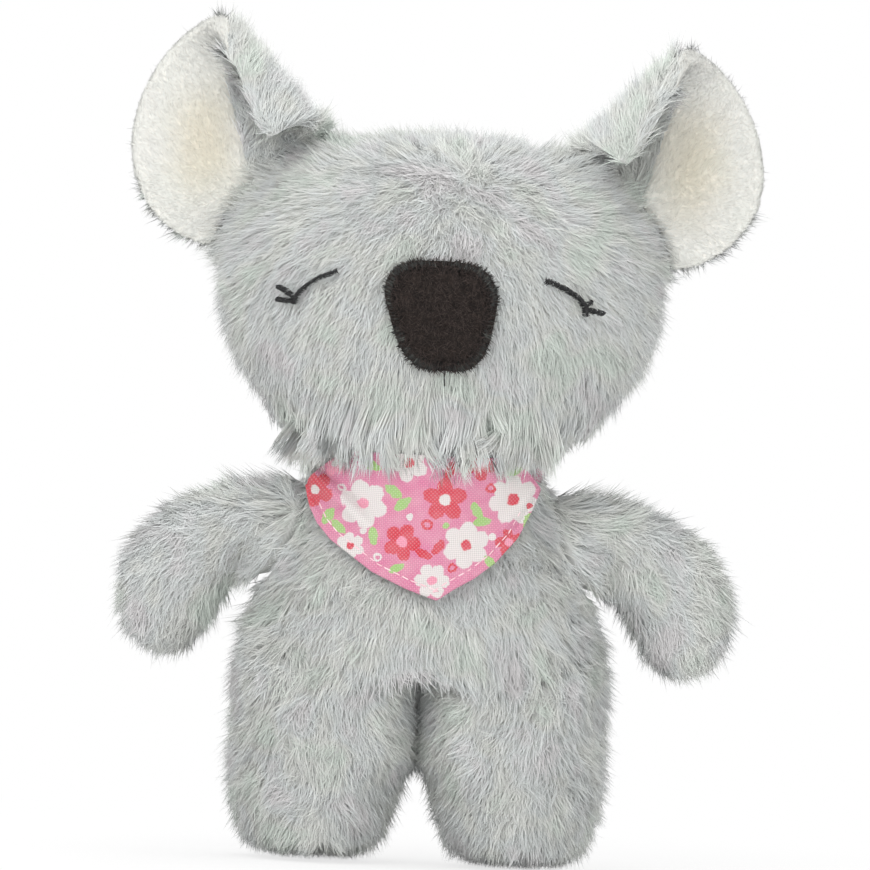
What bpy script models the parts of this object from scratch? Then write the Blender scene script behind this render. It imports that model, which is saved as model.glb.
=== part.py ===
"""Plush koala: fur skins over loose filling, a felt nose, stitched eyes and a cotton neckerchief.

The koala stands on its feet, faces -Y and has +Z up. Left and right are the koala's own.
All lengths are metres. Its origin is on the floor, midway between its sides and between nose and back.
"""

import math

import bmesh
import bpy
from mathutils import Matrix, Vector
from mathutils.bvhtree import BVHTree

# Cloth and fit

SKIN_THICKNESS = 0.0050
SEAT_GAP = 0.0003
NEAREST = 0.00001
CUTTER_OVERRUN = 0.0200
SWING_SPARE_DEG = 1

# Head

HEAD_WIDTH = 0.1085
HEAD_HEIGHT = 0.0810
HEAD_FRONT_REACH = 0.0355
HEAD_BACK_REACH = 0.0420
SNOUT_REACH = 0.0065
SNOUT_SPREAD_DEG = 42
HEAD_SECTION_SHARES = (
    # height, half width, depth, snout
    (-0.12, 0.50, 0.66, 0.0),
    (0.00, 0.54, 0.72, 0.0),
    (0.12, 0.73, 0.85, 0.2),
    (0.25, 0.91, 0.95, 0.7),
    (0.40, 1.01, 1.00, 1.0),
    (0.55, 1.03, 1.01, 0.8),
    (0.70, 0.99, 0.97, 0.4),
    (0.83, 0.84, 0.84, 0.1),
    (0.94, 0.60, 0.62, 0.0),
    (1.01, 0.27, 0.28, 0.0),
)

# Neck: a ball of filling that the head nods and turns on

NECK_HEIGHT = 0.0950
NECK_RADIUS = 0.0270
NECK_CLEARANCE = 0.0006
NOD_RANGE_DEG = 10
NECK_CREASE_WIDTH = 0.0340

# Body

BODY_WIDTH = 0.0910
BODY_DEPTH = 0.0620
BODY_SECTION_SHARES = (
    # height as a share of the neck's, half width, half depth
    (0.02, 1.02, 0.92),
    (0.20, 1.03, 0.97),
    (0.38, 1.01, 1.00),
    (0.54, 0.97, 1.02),
    (0.68, 0.91, 1.01),
    (0.82, 0.78, 0.98),
    (0.93, 0.66, 0.95),
    (1.03, 0.62, 0.91),
    (1.18, 0.60, 0.88),
)

# Arms

ARM_SEAM_INSET = 0.0080
ARM_SEAM_DROP = 0.0160
ARM_SEAM_TILT_DEG = 24.5
ARM_ROOT_LENGTH = 0.0270
ARM_ROOT_THICKNESS = 0.0190
ARM_REACH = 0.0380
ARM_DROP = 0.0335
ARM_WIDTH = 0.0310
ARM_THICKNESS = 0.0240
ARM_SWING_DEG = 40
ARM_SECTION_SHARES = (
    # outward and downward place of the section's middle, its turn in degrees, half width, half thickness
    (-0.42, -0.12, -24, 0.80, 0.76),
    (0.00, 0.00, -24, 0.86, 0.80),
    (0.29, 0.08, 13, 0.97, 0.92),
    (0.50, 0.24, 36, 1.07, 1.00),
    (0.66, 0.48, 55, 1.05, 1.00),
    (0.71, 0.78, 68, 0.84, 0.90),
    (0.70, 1.01, 80, 0.40, 0.45),
)

# Legs

HIP_HEIGHT = 0.0260
HIP_RADIUS = 0.0280
LEG_SWING_DEG = 30
LEG_WIDTH = 0.0465
LEG_PARTING = 0.0008
SOLE_DEPTH = 0.0005
LEG_SECTION_SHARES = (
    # height as a share of the hip's, sideways place and half width as shares of half the leg's width, depth
    (2.60, -0.06, 0.88, 0.80),
    (2.00, -0.05, 0.94, 0.92),
    (1.40, 0.00, 1.00, 1.00),
    (0.85, 0.03, 1.00, 1.02),
    (0.42, 0.05, 0.92, 1.00),
    (0.11, 0.05, 0.76, 0.95),
    (0.00, 0.04, 0.58, 0.86),
)

# Ears

EAR_BASE_INSET = 0.01125
EAR_BASE_DROP = 0.0190
EAR_BASE_SETBACK = 0.0060
EAR_LEAN_DEG = 52
EAR_TURN_DEG = 14
EAR_RISE = 0.0410
EAR_SUNK = 0.0130
EAR_BACK_THICKNESS = 0.0040
EAR_LINING_THICKNESS = 0.0026
EAR_MIDDLE_SHIFT = 0.0115
EAR_OUTER_WIDTH = 0.0330
EAR_INNER_WIDTH = 0.0310
EAR_OUTER_BEND_DEG = 22
EAR_ROLL_START = 0.0020
EAR_ROLL_RADIUS = 0.0080
EAR_ROLL_DEG = 145
EAR_TIP_ROLL_SHARE = 0.50
EAR_FOLD_DEG = 20

# Nose

NOSE_RISE = 0.0357
NOSE_WIDTH = 0.0272
NOSE_HEIGHT = 0.0267
NOSE_CHIN_SHARE = 0.60
NOSE_NARROWING_SHARE = 0.35
NOSE_SQUARENESS = 3.4
NOSE_FELT_THICKNESS = 0.0012
NOSE_BORDER_WIDTH = 0.0024
NOSE_BORDER_THICKNESS = 0.0011

# Eyes

EYE_THREAD_DIAMETER = 0.0014
EYE_MIDDLE_X = 0.0302
EYE_RISE = 0.0422
EYE_WIDTH = 0.0104
EYE_FALL = 0.0065
EYE_FALL_POWER = 1.7
EYE_LASH_LENGTH = 0.0044
EYE_LASH_PLACE_SHARES = (0.80, 1.0)
EYE_LASH_ANGLES_DEG = {"right": (8, -12), "left": (-12, -70)}

# Neckerchief

FLAP_TOP_DROP = 0.0034
FLAP_SIDE_LENGTH = 0.0056
FLAP_LENGTH = 0.0281
FLAP_SIDE_MARGIN = 0.0205
FLAP_TIP_OFFSET = 0.0027
FLAP_THICKNESS = 0.0009
FLAP_CLEARANCE = 0.0008
FLAP_FOLD_DEPTH = 0.0012
FLAP_CREASE_SHARE = 0.86
FLAP_CREASE_WIDTH_SHARE = 0.08
FLAP_TOP_DROOP_SHARE = 0.35
FLAP_EDGE_POWER = 1.45
BAND_DROP_FRONT = 0.0014
BAND_RISE_SIDE = 0.0015
BAND_RADIUS = 0.0016
BAND_CLEARANCE = 0.0007

SIDES = 12
INNER_SIDES = 8
NECK_SEGMENTS = 24
ROOT_SEGMENTS = 16
HIP_SEGMENTS = 36
SIGNS = {"left": 1, "right": -1}


def clear_scene():
    for obj in list(bpy.data.objects):
        bpy.data.objects.remove(obj, do_unlink=True)
    for name in ("Plush koala", "Cutters"):
        collection = bpy.data.collections.new(name)
        bpy.context.scene.collection.children.link(collection)
    bpy.data.collections["Cutters"].hide_render = True


def material(name, color, roughness):
    made = bpy.data.materials.new(name)
    made.use_nodes = True
    shader = made.node_tree.nodes["Principled BSDF"]
    shader.inputs["Base Color"].default_value = (*color, 1)
    shader.inputs["Roughness"].default_value = roughness
    shader.inputs["Metallic"].default_value = 0
    return made


def materials():
    return {
        "fur": material("grey plush", (0.50, 0.51, 0.51), 0.95),
        "lining": material("cream plush", (0.83, 0.80, 0.74), 0.95),
        "filling": material("polyester filling", (0.90, 0.90, 0.88), 0.9),
        "felt": material("dark felt", (0.035, 0.027, 0.025), 0.9),
        "thread": material("black thread", (0.012, 0.012, 0.013), 0.55),
        "cotton": material("printed cotton", (0.86, 0.38, 0.50), 0.85),
    }


def place(name, data):
    """A new object among the cutters, where every form starts."""
    obj = bpy.data.objects.new(name, data)
    bpy.data.collections["Cutters"].objects.link(obj)
    obj.hide_render = True
    obj.display_type = "WIRE"
    return obj


def from_bmesh(name, bm):
    bmesh.ops.recalc_face_normals(bm, faces=bm.faces)
    mesh = bpy.data.meshes.new(name)
    bm.to_mesh(mesh)
    bm.free()
    return place(name, mesh)


def settled(obj):
    """Puts the result of an object's modifiers into its mesh."""
    graph = bpy.context.evaluated_depsgraph_get()
    mesh = bpy.data.meshes.new_from_object(obj.evaluated_get(graph), depsgraph=graph)
    obj.modifiers.clear()
    obj.data = mesh
    return obj


def joined(obj, operation, *others, solver="EXACT"):
    """Cuts, crosses or unites an object with others, one Boolean each."""
    for other in others:
        modifier = obj.modifiers.new(operation.title(), "BOOLEAN")
        modifier.operation = operation
        modifier.solver = solver
        modifier.object = other
    return settled(obj)


def swept_clear(obj, room, pivot, direction, reach_deg):
    """Cuts an object by a neighbour at rest and as it lies, seen from the object, at both ends of a swing.

    The exact solver loses the object on these near-tangent cuts, so they use the manifold one.
    """
    reach = reach_deg + SWING_SPARE_DEG
    rooms = [copied(room, "swept room", about(pivot, direction, degrees)) for degrees in (-reach, 0, reach)]
    return joined(obj, "DIFFERENCE", *rooms, solver="MANIFOLD")


def copied(obj, name, matrix=None):
    twin = place(name, obj.data.copy())
    if matrix is not None:
        twin.data.transform(matrix)
    return twin


def finished(obj, name, look):
    """Moves a piece from the cutters to the koala, with its name and its material."""
    bpy.data.collections["Cutters"].objects.unlink(obj)
    bpy.data.collections["Plush koala"].objects.link(obj)
    obj.hide_render = False
    obj.display_type = "TEXTURED"
    obj.name = name
    obj.data.name = name
    obj.data.materials.clear()
    obj.data.materials.append(look)
    obj.data.shade_smooth()
    return obj


def swell(sides):
    """How far a cage ring stands outside the round that subdivision makes of it."""
    return 3 / (2 + math.cos(2 * math.pi / sides))


def lofted(name, sections, outset=0, sides=SIDES):
    """A cage through rings of points, closed at both ends, moved out by outset and subdivided once.

    A section is a function of an angle that gives a point; its angle runs once round the form.
    """
    bm = bmesh.new()
    loops = []
    for section in sections:
        ring = [bm.verts.new(section(2 * math.pi * i / sides)) for i in range(sides)]
        loops.append([bm.edges.new((ring[i - 1], ring[i])) for i in range(sides)])
    for lower, upper in zip(loops, loops[1:]):
        bmesh.ops.bridge_loops(bm, edges=lower + upper)
    for end in (loops[0], loops[-1]):
        bmesh.ops.contextual_create(bm, geom=end)
    bmesh.ops.recalc_face_normals(bm, faces=bm.faces)
    bm.normal_update()
    moved = [v.co + v.normal * outset for v in bm.verts]
    for vertex, point in zip(bm.verts, moved):
        vertex.co = point
    obj = from_bmesh(name, bm)
    smooth = obj.modifiers.new("Swell", "SUBSURF")
    smooth.levels = 1
    smooth.render_levels = 1
    return settled(obj)


def block(name, low, high):
    """A box between two corners."""
    bm = bmesh.new()
    bmesh.ops.create_cube(bm, size=1)
    low = Vector(low)
    high = Vector(high)
    bmesh.ops.scale(bm, vec=high - low, verts=bm.verts)
    bmesh.ops.translate(bm, vec=(low + high) / 2, verts=bm.verts)
    return from_bmesh(name, bm)


def ball(name, centre, radii, segments, turn=None):
    """A sphere or a spheroid with its poles on the local Z axis."""
    bm = bmesh.new()
    bmesh.ops.create_uvsphere(bm, u_segments=segments, v_segments=segments // 2, radius=1)
    bmesh.ops.scale(bm, vec=radii, verts=bm.verts)
    if turn is not None:
        bmesh.ops.rotate(bm, matrix=turn, verts=bm.verts)
    bmesh.ops.translate(bm, vec=centre, verts=bm.verts)
    return from_bmesh(name, bm)


def prism(name, outline, depth_from, depth_to, axis):
    """A flat outline carried along X or Y."""
    bm = bmesh.new()
    if axis == "Y":
        ring = [bm.verts.new((a, depth_from, b)) for a, b in outline]
        way = Vector((0, depth_to - depth_from, 0))
    else:
        ring = [bm.verts.new((depth_from, a, b)) for a, b in outline]
        way = Vector((depth_to - depth_from, 0, 0))
    face = bm.faces.new(ring)
    grown = bmesh.ops.extrude_face_region(bm, geom=[face])["geom"]
    bmesh.ops.translate(bm, vec=way, verts=[g for g in grown if isinstance(g, bmesh.types.BMVert)])
    return from_bmesh(name, bm)


def about(point, direction, degrees):
    """A turn about the line through a point."""
    there = Matrix.Translation(point)
    return there @ Matrix.Rotation(math.radians(degrees), 4, direction) @ there.inverted()


def stuffed(outer, inner_form, name, solver="EXACT"):
    """Splits an outer form into its skin, open where the form was cut, and the filling inside it."""
    hollow = inner_form("hollow", -SKIN_THICKNESS)
    filling = inner_form("filling", -SKIN_THICKNESS - SEAT_GAP)
    skin = joined(copied(outer, "skin"), "DIFFERENCE", hollow, solver=solver)
    joined(filling, "INTERSECT", outer, solver=solver)
    return (
        finished(skin, f"{name}_skin", LOOKS["fur"]),
        finished(filling, f"{name}_stuffing", LOOKS["filling"]),
    )


# Head and neck

HEAD_BOTTOM = NECK_HEIGHT + NECK_CREASE_WIDTH * math.tan(math.radians(NOD_RANGE_DEG + SWING_SPARE_DEG))


def head_section(height_share, width_share, depth_share, snout_share, sides):
    grow = swell(sides)
    half_width = HEAD_WIDTH / 2 * width_share * grow
    height = NECK_HEIGHT + HEAD_HEIGHT * height_share

    def point(angle):
        front = math.sin(angle) < 0
        reach = HEAD_FRONT_REACH if front else HEAD_BACK_REACH
        off_front = math.degrees(math.acos(max(-1, min(1, -math.sin(angle)))))
        snout = SNOUT_REACH * snout_share * math.exp(-((off_front / SNOUT_SPREAD_DEG) ** 2))
        depth = reach * depth_share * grow
        return (half_width * math.cos(angle), depth * math.sin(angle) - snout, height)

    return point


def head_form(name, outset, sides=SIDES):
    sections = [head_section(*shares, sides) for shares in HEAD_SECTION_SHARES]
    return lofted(name, sections, outset, sides)


def head_hollow(name, outset):
    return head_form(name, outset, INNER_SIDES)


def make_head():
    outer = head_form("head outer", 0)
    below = block(
        "below head",
        (-HEAD_WIDTH, -HEAD_WIDTH, -CUTTER_OVERRUN),
        (HEAD_WIDTH, HEAD_WIDTH, HEAD_BOTTOM),
    )
    cove = ball("head cove", (0, 0, NECK_HEIGHT), Vector.Fill(3, NECK_RADIUS + NECK_CLEARANCE), NECK_SEGMENTS)
    joined(outer, "DIFFERENCE", below, cove)
    return stuffed(outer, head_hollow, "head")


def make_neck():
    neck = ball("neck", (0, 0, NECK_HEIGHT), Vector.Fill(3, NECK_RADIUS), NECK_SEGMENTS)
    return finished(neck, "neck_stuffing", LOOKS["filling"])


# Body

HIP_CLEAR_DEG = 90 - LEG_SWING_DEG - SWING_SPARE_DEG


def body_section(height_share, width_share, depth_share, sides):
    grow = swell(sides)
    half_width = BODY_WIDTH / 2 * width_share * grow
    half_depth = BODY_DEPTH / 2 * depth_share * grow

    def point(angle):
        return (half_width * math.cos(angle), half_depth * math.sin(angle), NECK_HEIGHT * height_share)

    return point


def body_form(name, outset, sides=SIDES):
    sections = [body_section(*shares, sides) for shares in BODY_SECTION_SHARES]
    return lofted(name, sections, outset, sides)


def body_hollow(name, outset):
    return body_form(name, outset, INNER_SIDES)


def arc(radius, first_deg, last_deg, steps):
    """Points of an arc round the hip axis, its angles measured from straight up towards the back."""
    angles = [math.radians(first_deg + (last_deg - first_deg) * i / steps) for i in range(steps + 1)]
    return [(radius * math.sin(a), HIP_HEIGHT + radius * math.cos(a)) for a in angles]


def hip_room():
    """What the legs and their swing need: a round trough, and all that lies under its flared edges."""
    steps = HIP_SEGMENTS // 3
    radius = HIP_RADIUS + SEAT_GAP
    rim_y = BODY_DEPTH / 2 + CUTTER_OVERRUN
    rim_z = HIP_HEIGHT + rim_y / math.tan(math.radians(HIP_CLEAR_DEG))
    outline = arc(radius, -HIP_CLEAR_DEG, HIP_CLEAR_DEG, steps)
    outline += [(rim_y, rim_z), (rim_y, -CUTTER_OVERRUN), (-rim_y, -CUTTER_OVERRUN), (-rim_y, rim_z)]
    return prism("hip room", outline, -BODY_WIDTH, BODY_WIDTH, "X")


def make_body():
    outer = body_form("body outer", 0)
    above = block(
        "above body",
        (-BODY_WIDTH, -BODY_WIDTH, NECK_HEIGHT),
        (BODY_WIDTH, BODY_WIDTH, 2 * NECK_HEIGHT),
    )
    cove = ball("body cove", (0, 0, NECK_HEIGHT), Vector.Fill(3, NECK_RADIUS + NECK_CLEARANCE), NECK_SEGMENTS)
    sockets = [arm_root(sign, SEAT_GAP) for sign in SIGNS.values()]
    joined(outer, "DIFFERENCE", above, cove, hip_room(), *sockets)
    return stuffed(outer, body_hollow, "body")


# Arms


def arm_axis(sign):
    """The side seam's direction, pointing up and in."""
    tilt = math.radians(ARM_SEAM_TILT_DEG)
    return Vector((-sign * math.sin(tilt), 0, math.cos(tilt)))


def arm_pivot(sign):
    return Vector((sign * (BODY_WIDTH / 2 - ARM_SEAM_INSET), 0, NECK_HEIGHT - ARM_SEAM_DROP))


def arm_root(sign, outset):
    """The round root of an arm, turned about its seam."""
    turn = Vector((0, 0, 1)).rotation_difference(arm_axis(sign)).to_matrix()
    across = ARM_ROOT_THICKNESS / 2 + outset
    radii = (across, across, ARM_ROOT_LENGTH / 2 + outset)
    return ball("arm root", arm_pivot(sign), radii, ROOT_SEGMENTS, turn)


def arm_section(sign, out_share, down_share, turn_deg, width_share, thickness_share, sides):
    grow = swell(sides)
    turn = math.radians(turn_deg)
    middle = arm_pivot(sign) + Vector((sign * ARM_REACH * out_share, 0, -ARM_DROP * down_share))
    across = Vector((sign * math.sin(turn), 0, math.cos(turn))) * (ARM_WIDTH / 2 * width_share * grow)
    through = Vector((0, ARM_THICKNESS / 2 * thickness_share * grow, 0))

    def point(angle):
        return middle + across * math.cos(angle) + through * math.sin(angle)

    return point


def arm_form(name, sign, outset, sides=SIDES):
    sections = [arm_section(sign, *shares, sides) for shares in ARM_SECTION_SHARES]
    return lofted(name, sections, outset, sides)


def make_arm(side):
    sign = SIGNS[side]
    outer = arm_form("arm outer", sign, 0)
    room = body_form("body room", SEAT_GAP)
    swept_clear(outer, room, arm_pivot(sign), arm_axis(sign), ARM_SWING_DEG)
    joined(outer, "UNION", arm_root(sign, 0), solver="MANIFOLD")

    def hollow(name, outset):
        return arm_form(name, sign, outset, INNER_SIDES)

    return stuffed(outer, hollow, f"{side}_arm", solver="MANIFOLD")


# Legs


def leg_section(sign, height_share, place_share, width_share, depth_share, sides):
    grow = swell(sides)
    half_width = LEG_WIDTH / 2 * width_share * grow
    half_depth = HIP_RADIUS * depth_share * grow
    middle = sign * LEG_WIDTH / 2 * (1 + place_share)
    height = (HIP_HEIGHT + SOLE_DEPTH) * height_share - SOLE_DEPTH

    def point(angle):
        return (
            middle + half_width * math.cos(angle),
            half_depth * math.sin(angle),
            height,
        )

    return point


def leg_form(name, sign, outset, sides=SIDES):
    sections = [leg_section(sign, *shares, sides) for shares in LEG_SECTION_SHARES]
    return lofted(name, sections, outset, sides)


def hip_envelope(sign):
    """A round top about the hip axis with straight sides down to the floor, on one side of the parting."""
    outline = arc(HIP_RADIUS, -90, 90, HIP_SEGMENTS // 2)
    outline += [(HIP_RADIUS, 0), (-HIP_RADIUS, 0)]
    return prism("hip envelope", outline, sign * LEG_PARTING / 2, sign * LEG_WIDTH * 2, "X")


def make_leg(side):
    sign = SIGNS[side]
    outer = leg_form("leg outer", sign, 0)
    joined(outer, "INTERSECT", hip_envelope(sign))

    def hollow(name, outset):
        return leg_form(name, sign, outset, INNER_SIDES)

    return stuffed(outer, hollow, f"{side}_leg")


# Ears


def ear_pivot(sign):
    side = sign * (HEAD_WIDTH / 2 - EAR_BASE_INSET)
    return Vector((side, EAR_BASE_SETBACK, NECK_HEIGHT + HEAD_HEIGHT - EAR_BASE_DROP))


def ear_frame(sign):
    """Directions along the base towards the head's middle, from base to tip, and out of the hollow."""
    lean = math.radians(EAR_LEAN_DEG)
    along = Vector((-sign * math.cos(lean), 0, math.sin(lean)))
    tipward = Vector((sign * math.sin(lean), 0, math.cos(lean)))
    return along, tipward, Vector((0, -1, 0))


def ear_curl(reach, roll_share):
    """Place along and out of the flat at a distance across the sheet, followed along its curl."""
    steps = 24
    flat, depth = 0, 0
    for i in range(steps):
        here = reach * (i + 0.5) / steps
        if here < 0:
            angle = math.radians(EAR_OUTER_BEND_DEG) * here / EAR_OUTER_WIDTH
        else:
            rolled = max(0, here - EAR_ROLL_START) / EAR_ROLL_RADIUS
            angle = min(rolled, math.radians(EAR_ROLL_DEG)) * roll_share
        flat += math.cos(angle) * reach / steps
        depth += math.sin(angle) * reach / steps
    return flat, depth


def ear_point(sign, across_share, up_share):
    """A point of the ear's sheet: a disc whose inner side rolls forward, less and less towards the tip."""
    along, tipward, forward = ear_frame(sign)
    width = EAR_INNER_WIDTH if across_share > 0 else EAR_OUTER_WIDTH
    reach = width * across_share * math.sqrt(1 - up_share**2 / 2)
    up = up_share * math.sqrt(1 - across_share**2 / 2)
    height = (EAR_RISE + EAR_SUNK) / 2 * (1 + up) - EAR_SUNK
    roll_share = 1 - (1 - EAR_TIP_ROLL_SHARE) * max(0, height) / EAR_RISE
    side, rise = ear_curl(reach, roll_share)
    turn = math.radians(EAR_TURN_DEG)
    flat = EAR_MIDDLE_SHIFT + side * math.cos(turn) - rise * math.sin(turn)
    depth = rise * math.cos(turn) + side * math.sin(turn)
    return ear_pivot(sign) + along * flat + tipward * height + forward * depth


def ear_sheet(name, sign, thickness, side):
    """The ear's sheet with a wall of a thickness on its hollow side, 1, or on its back, -1."""
    columns = 14
    rows = 8
    bm = bmesh.new()
    bmesh.ops.create_grid(bm, x_segments=columns, y_segments=rows, size=1)
    for vertex in bm.verts:
        vertex.co = ear_point(sign, vertex.co.x, vertex.co.y)
    bm.normal_update()
    if sum((v.normal for v in bm.verts), Vector()).y > 0:
        bmesh.ops.reverse_faces(bm, faces=bm.faces)
        bm.normal_update()
    moved = [v.co + v.normal * (side * SEAT_GAP / 2) for v in bm.verts]
    for vertex, point in zip(bm.verts, moved):
        vertex.co = point
    mesh = bpy.data.meshes.new(name)
    bm.to_mesh(mesh)
    bm.free()
    obj = place(name, mesh)
    wall = obj.modifiers.new("Wall", "SOLIDIFY")
    wall.thickness = thickness
    wall.offset = side
    return settled(obj)


def make_ear(side):
    sign = SIGNS[side]
    along = ear_frame(sign)[0]
    room = head_form("head room", SEAT_GAP)
    back = ear_sheet("ear back", sign, EAR_BACK_THICKNESS, -1)
    lining = ear_sheet("ear lining", sign, EAR_LINING_THICKNESS, 1)
    for sheet in (back, lining):
        swept_clear(sheet, room, ear_pivot(sign), along, EAR_FOLD_DEG)
    return (
        finished(back, f"{side}_ear_back", LOOKS["fur"]),
        finished(lining, f"{side}_ear_lining", LOOKS["lining"]),
    )


# Nose


def nose_outline(inset):
    """A squared oval that narrows towards the chin."""
    points = []
    steps = 40
    power = 2 / NOSE_SQUARENESS
    for i in range(steps):
        angle = 2 * math.pi * i / steps
        across = math.copysign(abs(math.cos(angle)) ** power, math.cos(angle))
        up = math.copysign(abs(math.sin(angle)) ** power, math.sin(angle))
        narrowed = max(0, NOSE_NARROWING_SHARE - up) / (1 + NOSE_NARROWING_SHARE)
        narrowing = 1 - (1 - NOSE_CHIN_SHARE) * narrowed
        half_width = NOSE_WIDTH / 2 * narrowing - inset
        half_height = NOSE_HEIGHT / 2 - inset
        points.append((half_width * across, NECK_HEIGHT + NOSE_RISE + half_height * up))
    return points


def face_layer(name, inset, below, above):
    """A layer over the face inside the nose's outline, between two distances from the fur."""
    front = -HEAD_FRONT_REACH - SNOUT_REACH - CUTTER_OVERRUN
    layer = head_form(name, above)
    joined(layer, "INTERSECT", prism("nose prism", nose_outline(inset), front, 0, "Y"))
    return joined(layer, "DIFFERENCE", head_form("nose seat", below))


def make_nose():
    felt_top = SEAT_GAP + NOSE_FELT_THICKNESS
    border_top = felt_top + SEAT_GAP + NOSE_BORDER_THICKNESS
    patch = face_layer("nose felt", 0, SEAT_GAP, felt_top)
    border = face_layer("nose stitching", 0, felt_top + SEAT_GAP, border_top)
    front = -HEAD_FRONT_REACH - SNOUT_REACH - CUTTER_OVERRUN
    joined(border, "DIFFERENCE", prism("nose window", nose_outline(NOSE_BORDER_WIDTH), front, 0, "Y"))
    finished(patch, "nose_patch", LOOKS["felt"])
    finished(border, "nose_border", LOOKS["thread"])
    return patch, border


# Eyes


def surface_of(form):
    graph = bpy.context.evaluated_depsgraph_get()
    return BVHTree.FromObject(form, graph)


def on_front(surface, x, z, lift):
    """The point of a form's front at a place seen from ahead, lifted off it."""
    start = Vector((x, -HEAD_WIDTH, z))
    spot, normal, _, _ = surface.ray_cast(start, Vector((0, 1, 0)))
    return spot + normal * lift


def thread(name, points, radius):
    """A round thread along points, with closed ends."""
    curve = bpy.data.curves.new(name, "CURVE")
    curve.dimensions = "3D"
    curve.bevel_depth = radius
    curve.bevel_resolution = 1
    curve.use_fill_caps = True
    spline = curve.splines.new("POLY")
    spline.points.add(len(points) - 1)
    for spot, point in zip(spline.points, points):
        spot.co = (*point, 1)
    obj = place(name, curve)
    graph = bpy.context.evaluated_depsgraph_get()
    mesh = bpy.data.meshes.new_from_object(obj.evaluated_get(graph), depsgraph=graph)
    bpy.data.objects.remove(obj)
    bm = bmesh.new()
    bm.from_mesh(mesh)
    bmesh.ops.remove_doubles(bm, verts=bm.verts, dist=NEAREST)
    return from_bmesh(name, bm)


def eyelid_place(sign, share):
    """A place along the closed lid: share 0 is its end beside the nose, 1 its outer end."""
    x = sign * (EYE_MIDDLE_X + EYE_WIDTH * (share - 0.5))
    return x, NECK_HEIGHT + EYE_RISE + EYE_FALL * (0.5 - share**EYE_FALL_POWER)


def make_eye(side):
    sign = SIGNS[side]
    surface = surface_of(head_form("eye seat", 0))
    radius = EYE_THREAD_DIAMETER / 2
    lift = radius + SEAT_GAP
    steps = 8
    lid = [on_front(surface, *eyelid_place(sign, i / steps), lift) for i in range(steps + 1)]
    eye = thread("eyelid", lid, radius)
    lashes = []
    for share, degrees in zip(EYE_LASH_PLACE_SHARES, EYE_LASH_ANGLES_DEG[side]):
        x, z = eyelid_place(sign, share)
        angle = math.radians(degrees)
        lash = [
            on_front(
                surface,
                x + sign * EYE_LASH_LENGTH * along * math.cos(angle),
                z + EYE_LASH_LENGTH * along * math.sin(angle),
                lift,
            )
            for along in (0, 0.5, 1)
        ]
        lashes.append(thread("lash", lash, radius))
    joined(eye, "UNION", *lashes)
    return finished(eye, f"{side}_eye_stitching", LOOKS["thread"])


# Neckerchief


FLAP_TOP = NECK_HEIGHT - FLAP_TOP_DROP
FLAP_WIDTH = BODY_WIDTH - 2 * FLAP_SIDE_MARGIN


def flap_edges(x):
    """Heights of the flap's upper and lower edge at a place across it."""
    half = FLAP_WIDTH / 2
    off_top = abs(x) / half
    reach = half - FLAP_TIP_OFFSET if x > FLAP_TIP_OFFSET else half + FLAP_TIP_OFFSET
    off_tip = abs(x - FLAP_TIP_OFFSET) / reach
    top = FLAP_TOP - FLAP_SIDE_LENGTH * FLAP_TOP_DROOP_SHARE * off_top**2
    bottom = FLAP_TOP - FLAP_LENGTH + (FLAP_LENGTH - FLAP_SIDE_LENGTH) * off_tip**FLAP_EDGE_POWER
    return top, bottom


def make_flap():
    """The cotton triangle on the chest, creased where its corners are drawn to the band."""
    surface = surface_of(body_form("flap seat", 0))
    columns = 14
    rows = 6
    bm = bmesh.new()
    bmesh.ops.create_grid(bm, x_segments=columns, y_segments=rows, size=1)
    for vertex in bm.verts:
        across, up = vertex.co.x, vertex.co.y
        x = FLAP_WIDTH / 2 * across
        top, bottom = flap_edges(x)
        z = bottom + (top - bottom) * (up + 1) / 2
        off_crease = (abs(across) - FLAP_CREASE_SHARE) / FLAP_CREASE_WIDTH_SHARE
        crease = math.exp(-(off_crease**2)) * (up + 1) / 2
        lift = FLAP_CLEARANCE + FLAP_FOLD_DEPTH * crease
        vertex.co = on_front(surface, x, z, lift)
    bm.normal_update()
    if sum((v.normal for v in bm.verts), Vector()).y > 0:
        bmesh.ops.reverse_faces(bm, faces=bm.faces)
    mesh = bpy.data.meshes.new("flap")
    bm.to_mesh(mesh)
    bm.free()
    flap = place("flap", mesh)
    wall = flap.modifiers.new("Wall", "SOLIDIFY")
    wall.thickness = FLAP_THICKNESS
    wall.offset = 1
    settled(flap)
    return finished(flap, "neckerchief_flap", LOOKS["cotton"])


def make_band():
    """The rolled cloth round the neck, high over the shoulders and low at the throat and the nape."""
    surface = surface_of(body_form("band seat", BAND_RADIUS + BAND_CLEARANCE))
    turns = 36
    points = []
    for i in range(turns):
        angle = 2 * math.pi * i / turns
        sideways = math.cos(angle) ** 2
        height = NECK_HEIGHT - BAND_DROP_FRONT + (BAND_DROP_FRONT + BAND_RISE_SIDE) * sideways
        start = Vector((HEAD_WIDTH * math.cos(angle), HEAD_WIDTH * math.sin(angle), height))
        way = Vector((-math.cos(angle), -math.sin(angle), 0))
        points.append(surface.ray_cast(start, way)[0])
    curve = bpy.data.curves.new("band", "CURVE")
    curve.dimensions = "3D"
    curve.bevel_depth = BAND_RADIUS
    curve.bevel_resolution = 1
    spline = curve.splines.new("POLY")
    spline.points.add(len(points) - 1)
    for spot, point in zip(spline.points, points):
        spot.co = (*point, 1)
    spline.use_cyclic_u = True
    guide = place("band", curve)
    graph = bpy.context.evaluated_depsgraph_get()
    mesh = bpy.data.meshes.new_from_object(guide.evaluated_get(graph), depsgraph=graph)
    bpy.data.objects.remove(guide)
    return finished(place("band", mesh), "neckerchief_band", LOOKS["cotton"])


# Joints


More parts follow.
